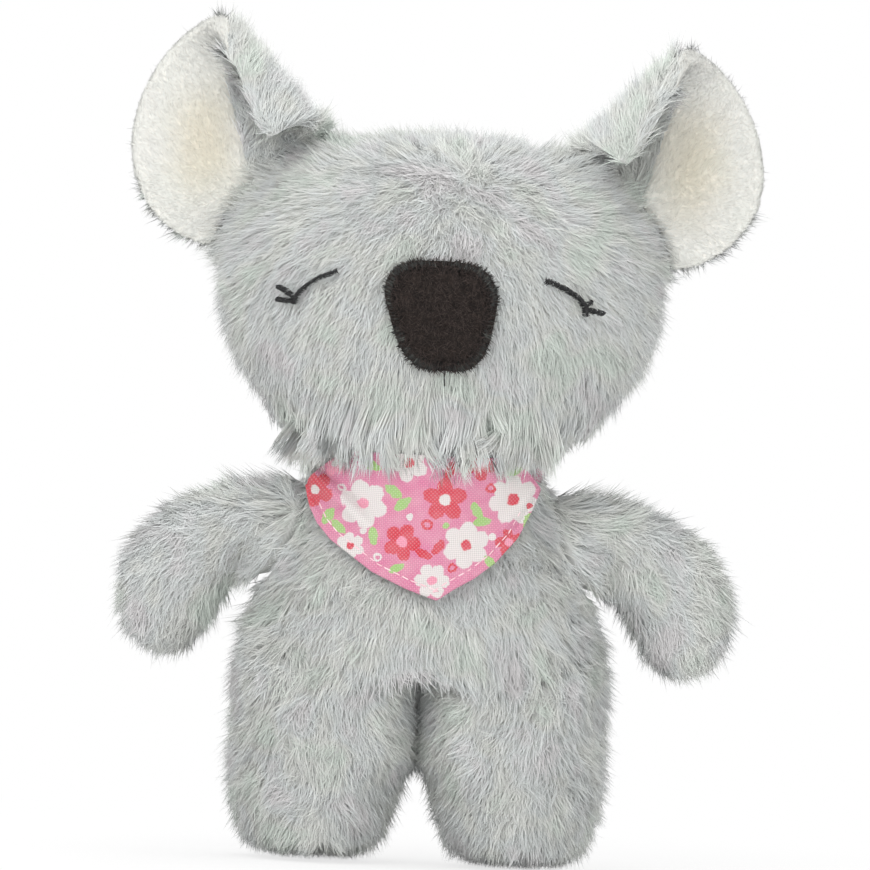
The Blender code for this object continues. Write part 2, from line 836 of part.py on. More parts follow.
def joint_empty(name, point, parent, pieces):
    """An empty on a joint's axis that carries the pieces which move with it."""
    empty = bpy.data.objects.new(name, None)
    empty.empty_display_size = NECK_RADIUS
    bpy.data.collections["Plush koala"].objects.link(empty)
    empty.location = point
    bpy.context.view_layer.update()
    carried = list(pieces)
    if parent is not None:
        empty.parent = parent
        empty.matrix_parent_inverse = parent.matrix_world.inverted()
    for piece in carried:
        piece.parent = empty
        piece.matrix_parent_inverse = empty.matrix_world.inverted()
    bpy.context.view_layer.update()
    return empty


def build():
    head = make_head()
    neck = make_neck()
    body = make_body()
    nose = make_nose()
    eyes = [make_eye(side) for side in SIGNS]
    flap = make_flap()
    band = make_band()
    torso = joint_empty("torso", (0, 0, 0), None, [*body, band])
    nod = joint_empty("neck_nod", (0, 0, NECK_HEIGHT), torso, [neck])
    turn = joint_empty("head_turn", (0, 0, NECK_HEIGHT), nod, [*head, *nose, *eyes])
    hinge_y = min(v.co.y for v in flap.data.vertices if v.co.z > FLAP_TOP - FLAP_THICKNESS)
    joint_empty("flap_lift", (0, hinge_y, FLAP_TOP), torso, [flap])
    for side, sign in SIGNS.items():
        joint_empty(f"{side}_arm_swing", arm_pivot(sign), torso, make_arm(side))
        joint_empty(f"{side}_leg_swing", (sign * LEG_WIDTH / 2, 0, HIP_HEIGHT), torso, make_leg(side))
        joint_empty(f"{side}_ear_fold", ear_pivot(sign), turn, make_ear(side))


clear_scene()
LOOKS = materials()
build()
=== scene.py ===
import math

import bmesh
import bpy
import numpy as np
from mathutils import Matrix, Vector, noise
from mathutils.bvhtree import BVHTree
from mathutils.kdtree import KDTree


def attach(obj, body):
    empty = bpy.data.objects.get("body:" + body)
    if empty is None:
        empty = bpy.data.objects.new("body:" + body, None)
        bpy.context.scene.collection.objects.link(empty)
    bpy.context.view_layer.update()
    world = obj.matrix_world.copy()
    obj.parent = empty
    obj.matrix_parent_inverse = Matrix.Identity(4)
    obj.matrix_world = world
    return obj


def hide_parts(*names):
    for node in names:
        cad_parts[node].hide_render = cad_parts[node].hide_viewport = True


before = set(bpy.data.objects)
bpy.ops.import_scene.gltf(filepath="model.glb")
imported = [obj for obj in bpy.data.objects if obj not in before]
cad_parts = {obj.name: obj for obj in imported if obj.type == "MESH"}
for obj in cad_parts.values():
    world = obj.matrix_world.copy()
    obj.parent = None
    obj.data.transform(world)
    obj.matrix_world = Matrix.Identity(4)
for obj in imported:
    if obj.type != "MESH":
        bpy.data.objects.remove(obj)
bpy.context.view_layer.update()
# Without this, the noise that sways the locks starts from the clock
noise.seed_set(5)

# Lengths in metres, densities in pieces per square metre

NEAREST = 1e-6
LOCK_NODES = 5
FIBRE_PLACES = (0.0, 1.0)
SEAM_DEPTH = 0.0005
KEY_LIFT = 0.003
SUNK_DEPTH = 0.0030
FUR_SHARE = 1.0
DOWN = Vector((0, 0, -1))

CROWN = Vector((0.003, -0.026, 0.173))
# Where the pile under the chin ends, across and up
CHIN_ENDS = ((-0.046, 0.110), (-0.0348, 0.0980), (-0.029, 0.0930), (0.0228, 0.0952), (0.0322, 0.1018), (0.046, 0.115))
EAR_ROOT = Vector((0.040, 0.006, 0.147))

NOSE_WIDTH = 0.0272
NOSE_HEIGHT = 0.0261
NOSE_ACROSS = 0.0006
NOSE_MIDDLE = 0.1304
NOSE_SQUARENESS = 3.4
NOSE_CHIN_SHARE = 0.71
NOSE_NARROWING_SHARE = 0.35
NOSE_LEAN = 0.085
NOSE_BORDER = 0.0029

# Closed eyes as points across and up, from beside the nose outwards
LIDS = {
    "left": ((0.0243, 0.1401), (0.0270, 0.1393), (0.0296, 0.1382), (0.0327, 0.1364), (0.0342, 0.1344), (0.0345, 0.1322)),
    "right": ((-0.0244, 0.1397), (-0.0282, 0.1382), (-0.0317, 0.1359), (-0.0336, 0.1338), (-0.0345, 0.1316)),
}
LASHES = {
    "left": (((0.0342, 0.1344), (0.0349, 0.1352), (0.0356, 0.1358)), ((0.0342, 0.1339), (0.0364, 0.1336), (0.0386, 0.1331))),
    "right": (((-0.0343, 0.1330), (-0.0366, 0.1346), (-0.0385, 0.1354)), ((-0.0343, 0.1323), (-0.0365, 0.1322), (-0.0386, 0.1324))),
}
THREAD_WIDTH = 0.00115

# Outline of the neckerchief's flap, across and up, round its lower edge and along its upper one
FLAP_BELOW = (
    (-0.0294, 0.0885),
    (-0.0283, 0.0841),
    (-0.0261, 0.0800),
    (-0.0228, 0.0764),
    (-0.0126, 0.0693),
    (-0.0046, 0.0658),
    (0.0028, 0.0634),
    (0.0065, 0.0661),
    (0.0114, 0.0691),
    (0.0162, 0.0731),
    (0.0209, 0.0789),
    (0.0239, 0.0852),
    (0.0256, 0.0903),
)
FLAP_ABOVE = (
    (-0.0294, 0.0891),
    (-0.0286, 0.0908),
    (-0.0258, 0.0936),
    (-0.0225, 0.0960),
    (-0.0180, 0.0976),
    (0.0180, 0.0976),
    (0.0225, 0.0950),
    (0.0256, 0.0912),
)


# Small helpers


def shown(name, bm):
    """A new piece of a finished bmesh."""
    data = bpy.data.meshes.new(name)
    bm.to_mesh(data)
    bm.free()
    obj = bpy.data.objects.new(name, data)
    bpy.context.scene.collection.objects.link(obj)
    return obj


def settle(obj):
    """Applies a piece's modifiers to its mesh."""
    graph = bpy.context.evaluated_depsgraph_get()
    made = bpy.data.meshes.new_from_object(obj.evaluated_get(graph), depsgraph=graph)
    obj.modifiers.clear()
    obj.data = made
    return obj


def rows(sequence, kind, width=3):
    """One property of all the items of a mesh as an array."""
    out = np.empty(len(sequence) * width, np.int32 if kind in ("vertices",) else np.float64)
    sequence.foreach_get(kind, out)
    return out.reshape(-1, width)


def tree_of(data):
    bm = bmesh.new()
    bm.from_mesh(data)
    tree = BVHTree.FromBMesh(bm)
    bm.free()
    return tree


def node_tree_of(name):
    return tree_of(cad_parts[name].data)


def smoothstep(value):
    value = min(1.0, max(0.0, value))
    return value * value * (3 - 2 * value)


def unit(values):
    return values / np.maximum(np.linalg.norm(values, axis=-1, keepdims=True), 1e-12)


# Materials


def add(tree, kind, settings=None, **inputs):
    """A node with its settings and sockets. A socket's value may be another node's output."""
    made = tree.nodes.new("ShaderNode" + kind)
    for key, value in (settings or {}).items():
        setattr(made, key, value)
    for key, value in inputs.items():
        socket = made.inputs[int(key[1:])] if key[1:].isdigit() else made.inputs[key.replace("_", " ")]
        if isinstance(value, bpy.types.NodeSocket):
            tree.links.new(value, socket)
        else:
            socket.default_value = value
    return made


def value(tree, operation, a, b=0.0, c=0.0):
    return add(tree, "Math", {"operation": operation}, i0=a, i1=b, i2=c).outputs[0]


def mixed(tree, factor, a, b, blend="MIX"):
    made = add(tree, "Mix", {"data_type": "RGBA", "blend_type": blend})
    for socket, given in ((0, factor), (6, a), (7, b)):
        if isinstance(given, bpy.types.NodeSocket):
            tree.links.new(given, made.inputs[socket])
        else:
            made.inputs[socket].default_value = given
    return made.outputs[2]


def ramp(tree, factor, stops):
    made = add(tree, "ValToRGB", Fac=factor)
    elements = made.color_ramp.elements
    while len(elements) < len(stops):
        elements.new(0.5)
    for element, (place, color) in zip(elements, stops):
        element.position = place
        element.color = color
    return made.outputs[0]


def spots(tree, coordinates, scale, detail=2.0, roughness=0.5):
    return add(
        tree, "TexNoise", {"noise_dimensions": "3D"}, Vector=coordinates, Scale=scale, Detail=detail, Roughness=roughness
    ).outputs[0]


def group(name, inputs, outputs):
    """An empty shader group with its named sockets, and its two end nodes."""
    made = bpy.data.node_groups.new(name, "ShaderNodeTree")
    for label, kind, start in inputs:
        socket = made.interface.new_socket(label, in_out="INPUT", socket_type="NodeSocket" + kind)
        if start is not None:
            socket.default_value = start
    for label, kind in outputs:
        made.interface.new_socket(label, in_out="OUTPUT", socket_type="NodeSocket" + kind)
    return made, made.nodes.new("NodeGroupInput"), made.nodes.new("NodeGroupOutput")


def placed(tree, made, **inputs):
    node = tree.nodes.new("ShaderNodeGroup")
    node.node_tree = made
    for key, given in inputs.items():
        socket = node.inputs[key.replace("_", " ")]
        if isinstance(given, bpy.types.NodeSocket):
            tree.links.new(given, socket)
        else:
            socket.default_value = given
    return node


def finish_of(name, roughness, sheen=0.0, specular=0.3):
    """A material with its Principled shader ready, and a Texture Coordinate node."""
    made = bpy.data.materials.new(name)
    made.use_nodes = True
    tree = made.node_tree
    shader = tree.nodes["Principled BSDF"]
    shader.inputs["Roughness"].default_value = roughness
    shader.inputs["Sheen Weight"].default_value = sheen
    shader.inputs["Specular IOR Level"].default_value = specular
    return made, tree, shader, tree.nodes.new("ShaderNodeTexCoord").outputs["Object"]


def pile_group():
    """Colour of one fibre of plush: dark at its root, which is painted shade for the depth of the pile, pale at its
    tip, no two alike, with faint cool tints.
    """
    made, start, end = group(
        "plush pile",
        (
            ("Place", "Vector", None),
            ("Root", "Color", (0.1, 0.1, 0.1, 1)),
            ("Middle", "Color", (0.3, 0.3, 0.3, 1)),
            ("Tip", "Color", (0.6, 0.6, 0.6, 1)),
            ("Variation", "Float", 0.3),
            ("Tint", "Float", 0.1),
        ),
        (("Color", "Color"),),
    )
    fibre = add(made, "Attribute", {"attribute_name": "strand"})
    parts = add(made, "SeparateXYZ", Vector=fibre.outputs["Vector"]).outputs
    # Painted shade: the root colour is darker than the tip, standing in for the shade deep in the pile
    lower = mixed(made, value(made, "MULTIPLY", parts[0], 2.4), start.outputs["Root"], start.outputs["Middle"])
    rise = add(made, "MapRange", {"interpolation_type": "SMOOTHSTEP"}, i0=parts[0], i1=0.35, i2=1.0).outputs[0]
    color = mixed(made, rise, lower, start.outputs["Tip"])
    own = value(made, "SUBTRACT", parts[2], 0.5)
    lock = value(made, "SUBTRACT", parts[1], 0.5)
    swing = value(made, "MULTIPLY_ADD", lock, 0.6, own)
    light = value(made, "MULTIPLY_ADD", swing, start.outputs["Variation"], 1.0)
    dark = add(made, "MapRange", i0=parts[2], i1=0.0, i2=0.12, i3=0.80, i4=1.0).outputs[0]
    light = value(made, "MULTIPLY", light, dark)
    color = mixed(made, 1.0, color, light, "MULTIPLY")
    where = spots(made, start.outputs["Place"], 95.0, 1.0)
    tint = ramp(
        made,
        where,
        (
            (0.30, (0.86, 1.0, 0.90, 1)),
            (0.44, (1.0, 1.0, 0.97, 1)),
            (0.56, (0.90, 0.96, 1.0, 1)),
            (0.70, (1.0, 0.93, 1.0, 1)),
        ),
    )
    tinted = mixed(made, 1.0, color, tint, "MULTIPLY")
    color = mixed(made, start.outputs["Tint"], color, tinted)
    made.links.new(color, end.inputs["Color"])
    return made


def plush(name, pile, root, middle, tip, variation, tint, roughness, hollow=None):
    made, tree, shader, place = finish_of(name, roughness, sheen=0.2, specular=0.2)
    fibre = placed(tree, pile, Place=place, Root=root, Middle=middle, Tip=tip, Variation=variation, Tint=tint)
    color = fibre.outputs[0]
    # Painted shade: the cream is darkened to beige in the ear's hollow
    if hollow:
        color = mixed(tree, placed(tree, hollow, Place=place).outputs[0], color, HOLLOW_PAINTED_SHADE, "MULTIPLY")
    tree.links.new(color, shader.inputs["Base Color"])
    return made


def hollow_shade_group():
    """A mask for the hollow of either ear, where a beige painted shade darkens the cream pile and its ground, as the
    deep cup is shaded.
    """
    made, start, end = group("ear hollow", (("Place", "Vector", None),), (("Hollow", "Float"),))
    folded = add(made, "VectorMath", {"operation": "ABSOLUTE"}, i0=start.outputs["Place"]).outputs[0]
    away = add(made, "VectorMath", {"operation": "SUBTRACT"}, i0=folded, i1=(0.0585, 0.0, 0.1700)).outputs[0]
    flat = add(made, "VectorMath", {"operation": "MULTIPLY"}, i0=away, i1=(1.0, 0.0, 0.62)).outputs[0]
    far = add(made, "VectorMath", {"operation": "LENGTH"}, i0=flat).outputs[1]
    wave = value(made, "MULTIPLY_ADD", spots(made, start.outputs["Place"], 120.0, 1.0), 0.004, far)
    near = add(made, "MapRange", {"interpolation_type": "SMOOTHSTEP"}, i0=wave, i1=0.015, i2=0.003).outputs[0]
    made.links.new(near, end.inputs["Hollow"])
    return made


def knit_backing(name, dark, pale, hollow=None):
    """The knitted ground that the pile grows from."""
    made, tree, shader, place = finish_of(name, 0.85, specular=0.1)
    ribs = add(tree, "TexWave", {"wave_type": "BANDS", "bands_direction": "DIAGONAL"}, Vector=place, Scale=420.0, Distortion=2.0)
    cloud = spots(tree, place, 900.0, 3.0)
    shade = value(tree, "MULTIPLY_ADD", ribs.outputs[1], 0.5, value(tree, "MULTIPLY", cloud, 0.5))
    color = mixed(tree, shade, dark, pale)
    # Painted shade: the cream ground is darkened to beige in the ear's hollow
    if hollow:
        color = mixed(tree, placed(tree, hollow, Place=place).outputs[0], color, HOLLOW_PAINTED_SHADE, "MULTIPLY")
    tree.links.new(color, shader.inputs["Base Color"])
    bump = add(tree, "Bump", Strength=0.4, Distance=0.0003, Height=shade)
    tree.links.new(bump.outputs[0], shader.inputs["Normal"])
    return made


def felt(name, dark, pale):
    """Dense felt with matted fibres."""
    made, tree, shader, place = finish_of(name, 0.92, specular=0.08)
    bent = add(tree, "VectorMath", {"operation": "MULTIPLY_ADD"}, i0=add(tree, "TexNoise", Vector=place, Scale=900.0).outputs[1], i1=(0.0012,) * 3, i2=place)
    hair = spots(tree, bent.outputs[0], 2600.0, 3.0, 0.7)
    cloud = spots(tree, place, 260.0, 2.0)
    shade = value(tree, "MULTIPLY_ADD", hair, 0.75, value(tree, "MULTIPLY", cloud, 0.35))
    color = ramp(tree, shade, ((0.36, dark), (0.72, pale)))
    tree.links.new(color, shader.inputs["Base Color"])
    bump = add(tree, "Bump", Strength=0.7, Distance=0.0002, Height=hair)
    tree.links.new(bump.outputs[0], shader.inputs["Normal"])
    return made


def silk_thread(name, dark, pale, roughness):
    """Embroidery thread: each stitch a little lighter or darker, and paler where its fibres catch the light."""
    made, tree, shader, place = finish_of(name, roughness, specular=0.45)
    fibre = add(tree, "Attribute", {"attribute_name": "strand"})
    parts = add(tree, "SeparateXYZ", Vector=fibre.outputs["Vector"]).outputs
    fine = spots(tree, place, 3600.0, 2.0)
    own = value(tree, "POWER", parts[2], 5.0)
    shade = value(tree, "MULTIPLY_ADD", own, 0.8, value(tree, "MULTIPLY_ADD", fine, 0.5, -0.15))
    tree.links.new(mixed(tree, shade, dark, pale), shader.inputs["Base Color"])
    bump = add(tree, "Bump", Strength=0.3, Distance=0.00008, Height=fine)
    tree.links.new(bump.outputs[0], shader.inputs["Normal"])
    return made


def blossom_group():
    """A printed flower seen from above: its petals, and the round heart in its middle."""
    made, start, end = group(
        "printed blossom",
        (
            ("Place", "Vector", None),
            ("Centre", "Vector", (0, 0, 0)),
            ("Radius", "Float", 0.004),
            ("Petals", "Float", 5.0),
            ("Turn", "Float", 0.0),
            ("Depth", "Float", 0.4),
            ("Heart", "Float", 0.25),
        ),
        (("Petal", "Float"), ("Middle", "Float")),
    )
    away = add(made, "VectorMath", {"operation": "SUBTRACT"}, i0=start.outputs["Place"], i1=start.outputs["Centre"]).outputs[0]
    parts = add(made, "SeparateXYZ", Vector=away).outputs
    far = add(made, "VectorMath", {"operation": "LENGTH"}, i0=away).outputs[1]
    angle = value(made, "ADD", value(made, "ARCTAN2", parts[1], parts[0]), start.outputs["Turn"])
    wave = value(made, "COSINE", value(made, "MULTIPLY", angle, start.outputs["Petals"]))
    lobe = value(made, "POWER", value(made, "MULTIPLY_ADD", wave, 0.5, 0.5), 0.45)
    edge = value(made, "MULTIPLY_ADD", value(made, "SUBTRACT", lobe, 1.0), start.outputs["Depth"], 1.0)
    share = value(made, "DIVIDE", far, start.outputs["Radius"])
    inside = add(made, "MapRange", i0=value(made, "SUBTRACT", edge, share), i1=-0.03, i2=0.03).outputs[0]
    heart = add(made, "MapRange", i0=value(made, "SUBTRACT", start.outputs["Heart"], share), i1=-0.03, i2=0.03).outputs[0]
    made.links.new(inside, end.inputs["Petal"])
    made.links.new(heart, end.inputs["Middle"])
    return made


def leaf_group():
    """A printed leaf: a pointed oval."""
    made, start, end = group(
        "printed leaf",
        (
            ("Place", "Vector", None),
            ("Centre", "Vector", (0, 0, 0)),
            ("Turn", "Vector", (0, 0, 0)),
            ("Length", "Float", 0.003),
            ("Slimness", "Float", 2.0),
        ),
        (("Leaf", "Float"),),
    )
    away = add(made, "VectorMath", {"operation": "SUBTRACT"}, i0=start.outputs["Place"], i1=start.outputs["Centre"]).outputs[0]
    turned = add(made, "VectorRotate", {"rotation_type": "EULER_XYZ"}, Vector=away, Rotation=start.outputs["Turn"]).outputs[0]
    parts = add(made, "SeparateXYZ", Vector=turned).outputs
    along = value(made, "POWER", value(made, "ABSOLUTE", value(made, "DIVIDE", parts[0], start.outputs["Length"])), 1.6)
    across = value(made, "ABSOLUTE", value(made, "DIVIDE", parts[1], start.outputs["Length"]))
    across = value(made, "POWER", value(made, "MULTIPLY", across, start.outputs["Slimness"]), 1.8)
    inside = add(made, "MapRange", i0=value(made, "ADD", along, across), i1=1.06, i2=0.94).outputs[0]
    made.links.new(inside, end.inputs["Leaf"])
    return made


def weave_group():
    """Plain weave: warp over weft in a chequer, with a height for the bump."""
    made, start, end = group(
        "plain weave",
        (("Place", "Vector", None), ("Pitch", "Float", 0.0003)),
        (("Height", "Float"), ("Warp", "Float")),
    )
    scaled = add(made, "VectorMath", {"operation": "SCALE"}, i0=start.outputs["Place"], i3=value(made, "DIVIDE", math.pi, start.outputs["Pitch"])).outputs[0]
    parts = add(made, "SeparateXYZ", Vector=scaled).outputs
    across = value(made, "SINE", parts[0])
    along = value(made, "SINE", parts[1])
    warp = value(made, "MULTIPLY", across, along)
    over = value(made, "MULTIPLY_ADD", warp, 0.5, 0.5)
    round_warp = value(made, "ABSOLUTE", across)
    round_weft = value(made, "ABSOLUTE", along)
    height = value(made, "MAXIMUM", value(made, "MULTIPLY", round_warp, over), value(made, "MULTIPLY", round_weft, value(made, "SUBTRACT", 1.0, over)))
    made.links.new(height, end.inputs["Height"])
    made.links.new(over, end.inputs["Warp"])
    return made


PRINT_WHITE = (0.76, 0.74, 0.71, 1)
PRINT_RED = (0.66, 0.020, 0.045, 1)
PRINT_GREEN = (0.33, 0.60, 0.16, 1)
PRINT_ROSE = (0.86, 0.30, 0.42, 1)

# Flowers of the print: centre, radius, petals, turn, depth of the notches, heart share, petal and heart colour
FLOWERS = (
    (-0.0155, 0.0853, 0.0058, 6, 0.3, 0.30, 0.24, PRINT_WHITE, PRINT_ROSE),
    (0.0035, 0.0872, 0.0052, 5, 0.9, 0.42, 0.26, PRINT_RED, PRINT_WHITE),
    (0.0195, 0.0880, 0.0060, 7, 0.2, 0.28, 0.25, PRINT_WHITE, PRINT_RED),
    (-0.0060, 0.0768, 0.0045, 5, 0.1, 0.40, 0.28, PRINT_RED, PRINT_ROSE),
    (0.0090, 0.0768, 0.0056, 6, 0.6, 0.30, 0.22, PRINT_WHITE, PRINT_RED),
    (0.0015, 0.0680, 0.0042, 6, 0.0, 0.30, 0.26, PRINT_WHITE, PRINT_ROSE),
    (-0.0270, 0.0880, 0.0044, 5, 0.4, 0.40, 0.26, PRINT_RED, PRINT_WHITE),
    (0.0190, 0.0778, 0.0034, 5, 0.7, 0.40, 0.28, PRINT_RED, PRINT_ROSE),
    (-0.0180, 0.0752, 0.0033, 6, 0.4, 0.30, 0.26, PRINT_WHITE, PRINT_RED),
    (0.0275, 0.0830, 0.0030, 5, 0.2, 0.38, 0.26, PRINT_ROSE, PRINT_WHITE),
    (-0.0052, 0.0955, 0.0046, 5, 0.5, 0.40, 0.26, PRINT_WHITE, PRINT_RED),
    (0.0112, 0.0962, 0.0040, 5, 0.2, 0.38, 0.26, PRINT_RED, PRINT_ROSE),
    (-0.0225, 0.0945, 0.0030, 5, 0.8, 0.38, 0.26, PRINT_ROSE, PRINT_WHITE),
)
# Leaves of the print: centre, turn in degrees, length, colour
LEAVES = (
    (-0.0085, 0.0885, 35, 0.0024, PRINT_GREEN),
    (-0.0063, 0.0857, -40, 0.0024, PRINT_GREEN),
    (0.0110, 0.0850, 60, 0.0023, PRINT_GREEN),
    (0.0125, 0.0825, -10, 0.0022, PRINT_GREEN),
    (-0.0128, 0.0778, 80, 0.0022, PRINT_GREEN),
    (-0.0008, 0.0742, 20, 0.0021, PRINT_RED),
    (0.0025, 0.0760, -55, 0.0021, PRINT_RED),
    (-0.0235, 0.0820, 120, 0.0024, PRINT_GREEN),
    (-0.0210, 0.0795, 40, 0.0022, PRINT_GREEN),
    (0.0148, 0.0730, 50, 0.0020, PRINT_GREEN),
    (0.0232, 0.0830, 100, 0.0022, PRINT_GREEN),
    (-0.0070, 0.0705, -30, 0.0020, PRINT_GREEN),
    (-0.0140, 0.0945, 20, 0.0023, PRINT_GREEN),
    (0.0042, 0.0942, 110, 0.0022, PRINT_RED),
    (0.0190, 0.0948, -20, 0.0023, PRINT_GREEN),
)
# Rings and dots of the print: centre, outer radius, share that is left open, colour
RINGS = (
    (-0.0003, 0.0812, 0.0013, 0.55, PRINT_RED),
    (0.0140, 0.0905, 0.0012, 0.50, PRINT_RED),
    (-0.0208, 0.0888, 0.0012, 0.55, PRINT_WHITE),
    (0.0060, 0.0713, 0.0011, 0.50, PRINT_RED),
    (-0.0115, 0.0728, 0.0011, 0.55, PRINT_WHITE),
    (0.0150, 0.0790, 0.0009, 0.0, PRINT_WHITE),
    (-0.0045, 0.0828, 0.0008, 0.0, PRINT_WHITE),
    (0.0232, 0.0868, 0.0008, 0.0, PRINT_RED),
    (-0.0150, 0.0790, 0.0008, 0.0, PRINT_WHITE),
    (0.0040, 0.0812, 0.0008, 0.0, PRINT_GREEN),
)


def cotton(name, flower, leaf, weave):
    """Pink cotton with a printed meadow of flowers, leaves and rings."""
    made, tree, shader, _ = finish_of(name, 0.82, sheen=0.15, specular=0.15)
    place = add(tree, "UVMap", {"uv_map": "cloth"}).outputs[0]
    threads = placed(tree, weave, Place=place, Pitch=0.00046)
    cloud = spots(tree, place, 260.0, 3.0)
    color = mixed(tree, value(tree, "MULTIPLY", cloud, 0.9), (0.68, 0.15, 0.32, 1), (0.74, 0.32, 0.42, 1))
    ragged = add(tree, "TexNoise", Vector=place, Scale=900.0, Detail=2.0).outputs[1]
    ragged = add(tree, "VectorMath", {"operation": "SUBTRACT"}, i0=ragged, i1=(0.5, 0.5, 0.5)).outputs[0]
    place = add(tree, "VectorMath", {"operation": "MULTIPLY_ADD"}, i0=ragged, i1=(0.0010, 0.0010, 0.0), i2=place).outputs[0]
    for across, up, radius, petals, turn, depth, heart, petal_color, heart_color in FLOWERS:
        head = placed(tree, flower, Place=place, Centre=(across, up, 0), Radius=radius, Petals=petals, Turn=turn, Depth=depth, Heart=heart)
        color = mixed(tree, head.outputs[0], color, petal_color)
        color = mixed(tree, head.outputs[1], color, heart_color)
    for across, up, turn, length, leaf_color in LEAVES:
        head = placed(tree, leaf, Place=place, Centre=(across, up, 0), Turn=(0, 0, math.radians(turn)), Length=length)
        color = mixed(tree, head.outputs[0], color, leaf_color)
    for across, up, radius, open_share, ring_color in RINGS:
        head = placed(tree, flower, Place=place, Centre=(across, up, 0), Radius=radius, Petals=3.0, Depth=0.0, Heart=open_share)
        ring = value(tree, "SUBTRACT", head.outputs[0], head.outputs[1]) if open_share else head.outputs[0]
        color = mixed(tree, ring, color, ring_color)
    faded = value(tree, "MULTIPLY_ADD", threads.outputs[1], -0.24, value(tree, "MULTIPLY_ADD", cloud, 0.30, 0.14))
    dyed = mixed(tree, faded, color, (0.86, 0.66, 0.72, 1))
    shadow = add(tree, "MapRange", i0=threads.outputs[0], i1=0.0, i2=0.8, i3=0.66, i4=1.0).outputs[0]
    tree.links.new(mixed(tree, 1.0, dyed, shadow, "MULTIPLY"), shader.inputs["Base Color"])
    bump = add(tree, "Bump", Strength=0.6, Distance=0.00020, Height=threads.outputs[0])
    tree.links.new(bump.outputs[0], shader.inputs["Normal"])
    return made


def floor_finish():
    """A white floor that keeps a soft shadow near the toy and is plain white farther off."""
    made, tree, shader, place = finish_of("studio floor", 0.9, specular=0.0)
    cloud = spots(tree, place, 6.0, 2.0)
    tree.links.new(mixed(tree, cloud, (0.93, 0.93, 0.93, 1), (0.96, 0.96, 0.96, 1)), shader.inputs["Base Color"])
    far = add(tree, "VectorMath", {"operation": "LENGTH"}, i0=place).outputs[1]
    away = add(tree, "MapRange", {"interpolation_type": "SMOOTHSTEP"}, i0=far, i1=0.08, i2=0.30, i3=0.75, i4=1.0).outputs[0]
    rays = add(tree, "LightPath")
    white = add(tree, "Emission", Color=(1, 1, 1, 1), Strength=1.0)
    both = add(tree, "MixShader", Fac=value(tree, "MULTIPLY", away, rays.outputs["Is Camera Ray"]))
    tree.links.new(shader.outputs[0], both.inputs[1])
    tree.links.new(white.outputs[0], both.inputs[2])
    tree.links.new(both.outputs[0], tree.nodes["Material Output"].inputs["Surface"])
    return made


# Painted shade for the deep hollow of the ears, multiplied into the cream pile and its ground there
HOLLOW_PAINTED_SHADE = (0.93, 0.88, 0.78, 1)
PILE = pile_group()
HOLLOW = hollow_shade_group()
WEAVE = weave_group()
# The root colours are darker than the tips: painted shade for the depth of the pile
GREY_PLUSH = plush("grey plush", PILE, (0.63, 0.64, 0.62, 1), (0.79, 0.80, 0.775, 1), (0.885, 0.90, 0.87, 1), 0.15, 0.45, 0.75)
CREAM_PLUSH = plush("cream plush", PILE, (0.83, 0.82, 0.77, 1), (0.86, 0.86, 0.81, 1), (0.86, 0.87, 0.83, 1), 0.03, 0.05, 0.75, HOLLOW)
GREY_KNIT = knit_backing("grey knit", (0.50, 0.505, 0.49, 1), (0.64, 0.65, 0.63, 1))
CREAM_KNIT = knit_backing("cream knit", (0.82, 0.80, 0.74, 1), (0.86, 0.85, 0.80, 1), HOLLOW)
NOSE_FELT = felt("nose felt", (0.004, 0.003, 0.0025, 1), (0.045, 0.034, 0.030, 1))
NOSE_THREAD = silk_thread("nose thread", (0.001, 0.001, 0.001, 1), (0.075, 0.083, 0.072, 1), 0.5)
EYE_THREAD = silk_thread("eye thread", (0.002, 0.002, 0.003, 1), (0.035, 0.036, 0.036, 1), 0.45)
HEM_THREAD = silk_thread("hem thread", (0.84, 0.52, 0.58, 1), (0.95, 0.78, 0.80, 1), 0.6)
COTTON = cotton("printed cotton", blossom_group(), leaf_group(), WEAVE)


# Stuffed forms


def smooth_form(name, nodes, voxel, filled=0.0):
    """The outer surface of some CAD solids as one closed and rounded skin. Grooves narrower than twice the filled
    width are closed."""
    bm = bmesh.new()
    for node in nodes:
        bm.from_mesh(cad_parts[node].data)
    bmesh.ops.remove_doubles(bm, verts=bm.verts, dist=NEAREST)
    form = shown(name, bm)
    closing = form.modifiers.new("closed", "REMESH")
    closing.mode = "VOXEL"
    closing.voxel_size = voxel
    for swell in (filled, -filled) if filled else ():
        moved = form.modifiers.new("moved", "DISPLACE")
        moved.strength = swell
        moved.mid_level = 0
        again = form.modifiers.new("closed again", "REMESH")
        again.mode = "VOXEL"
        again.voxel_size = voxel
    rounding = form.modifiers.new("rounded", "SMOOTH")
    rounding.factor = 0.5
    rounding.iterations = 12
    settle(form)
    bm = bmesh.new()
    bm.from_mesh(form.data)
    left = set(bm.verts)
    islands = []
    while left:
        found = {left.pop()}
        edge = list(found)
        while edge:
            near = {e.other_vert(v) for v in edge for e in v.link_edges} - found
            found |= near
            edge = list(near)
        left -= found
        islands.append(found)
    largest = max(islands, key=len)
    bmesh.ops.delete(bm, geom=[v for v in bm.verts if v not in largest], context="VERTS")
    bm.to_mesh(form.data)
    bm.free()
    return form


def pressed(spot, normal, forms, reach):
    """True where a surface faces another form closely, as two sewn or touching parts do, or lies deep in it."""
    for form in forms:
        near, out, _, far = form.find_nearest(spot, SUNK_DEPTH + 0.004)
        if near is None:
            continue
        if far < reach and normal.dot(out) < -0.45 or (spot - near).dot(out) < -SUNK_DEPTH:
            return True
    return False


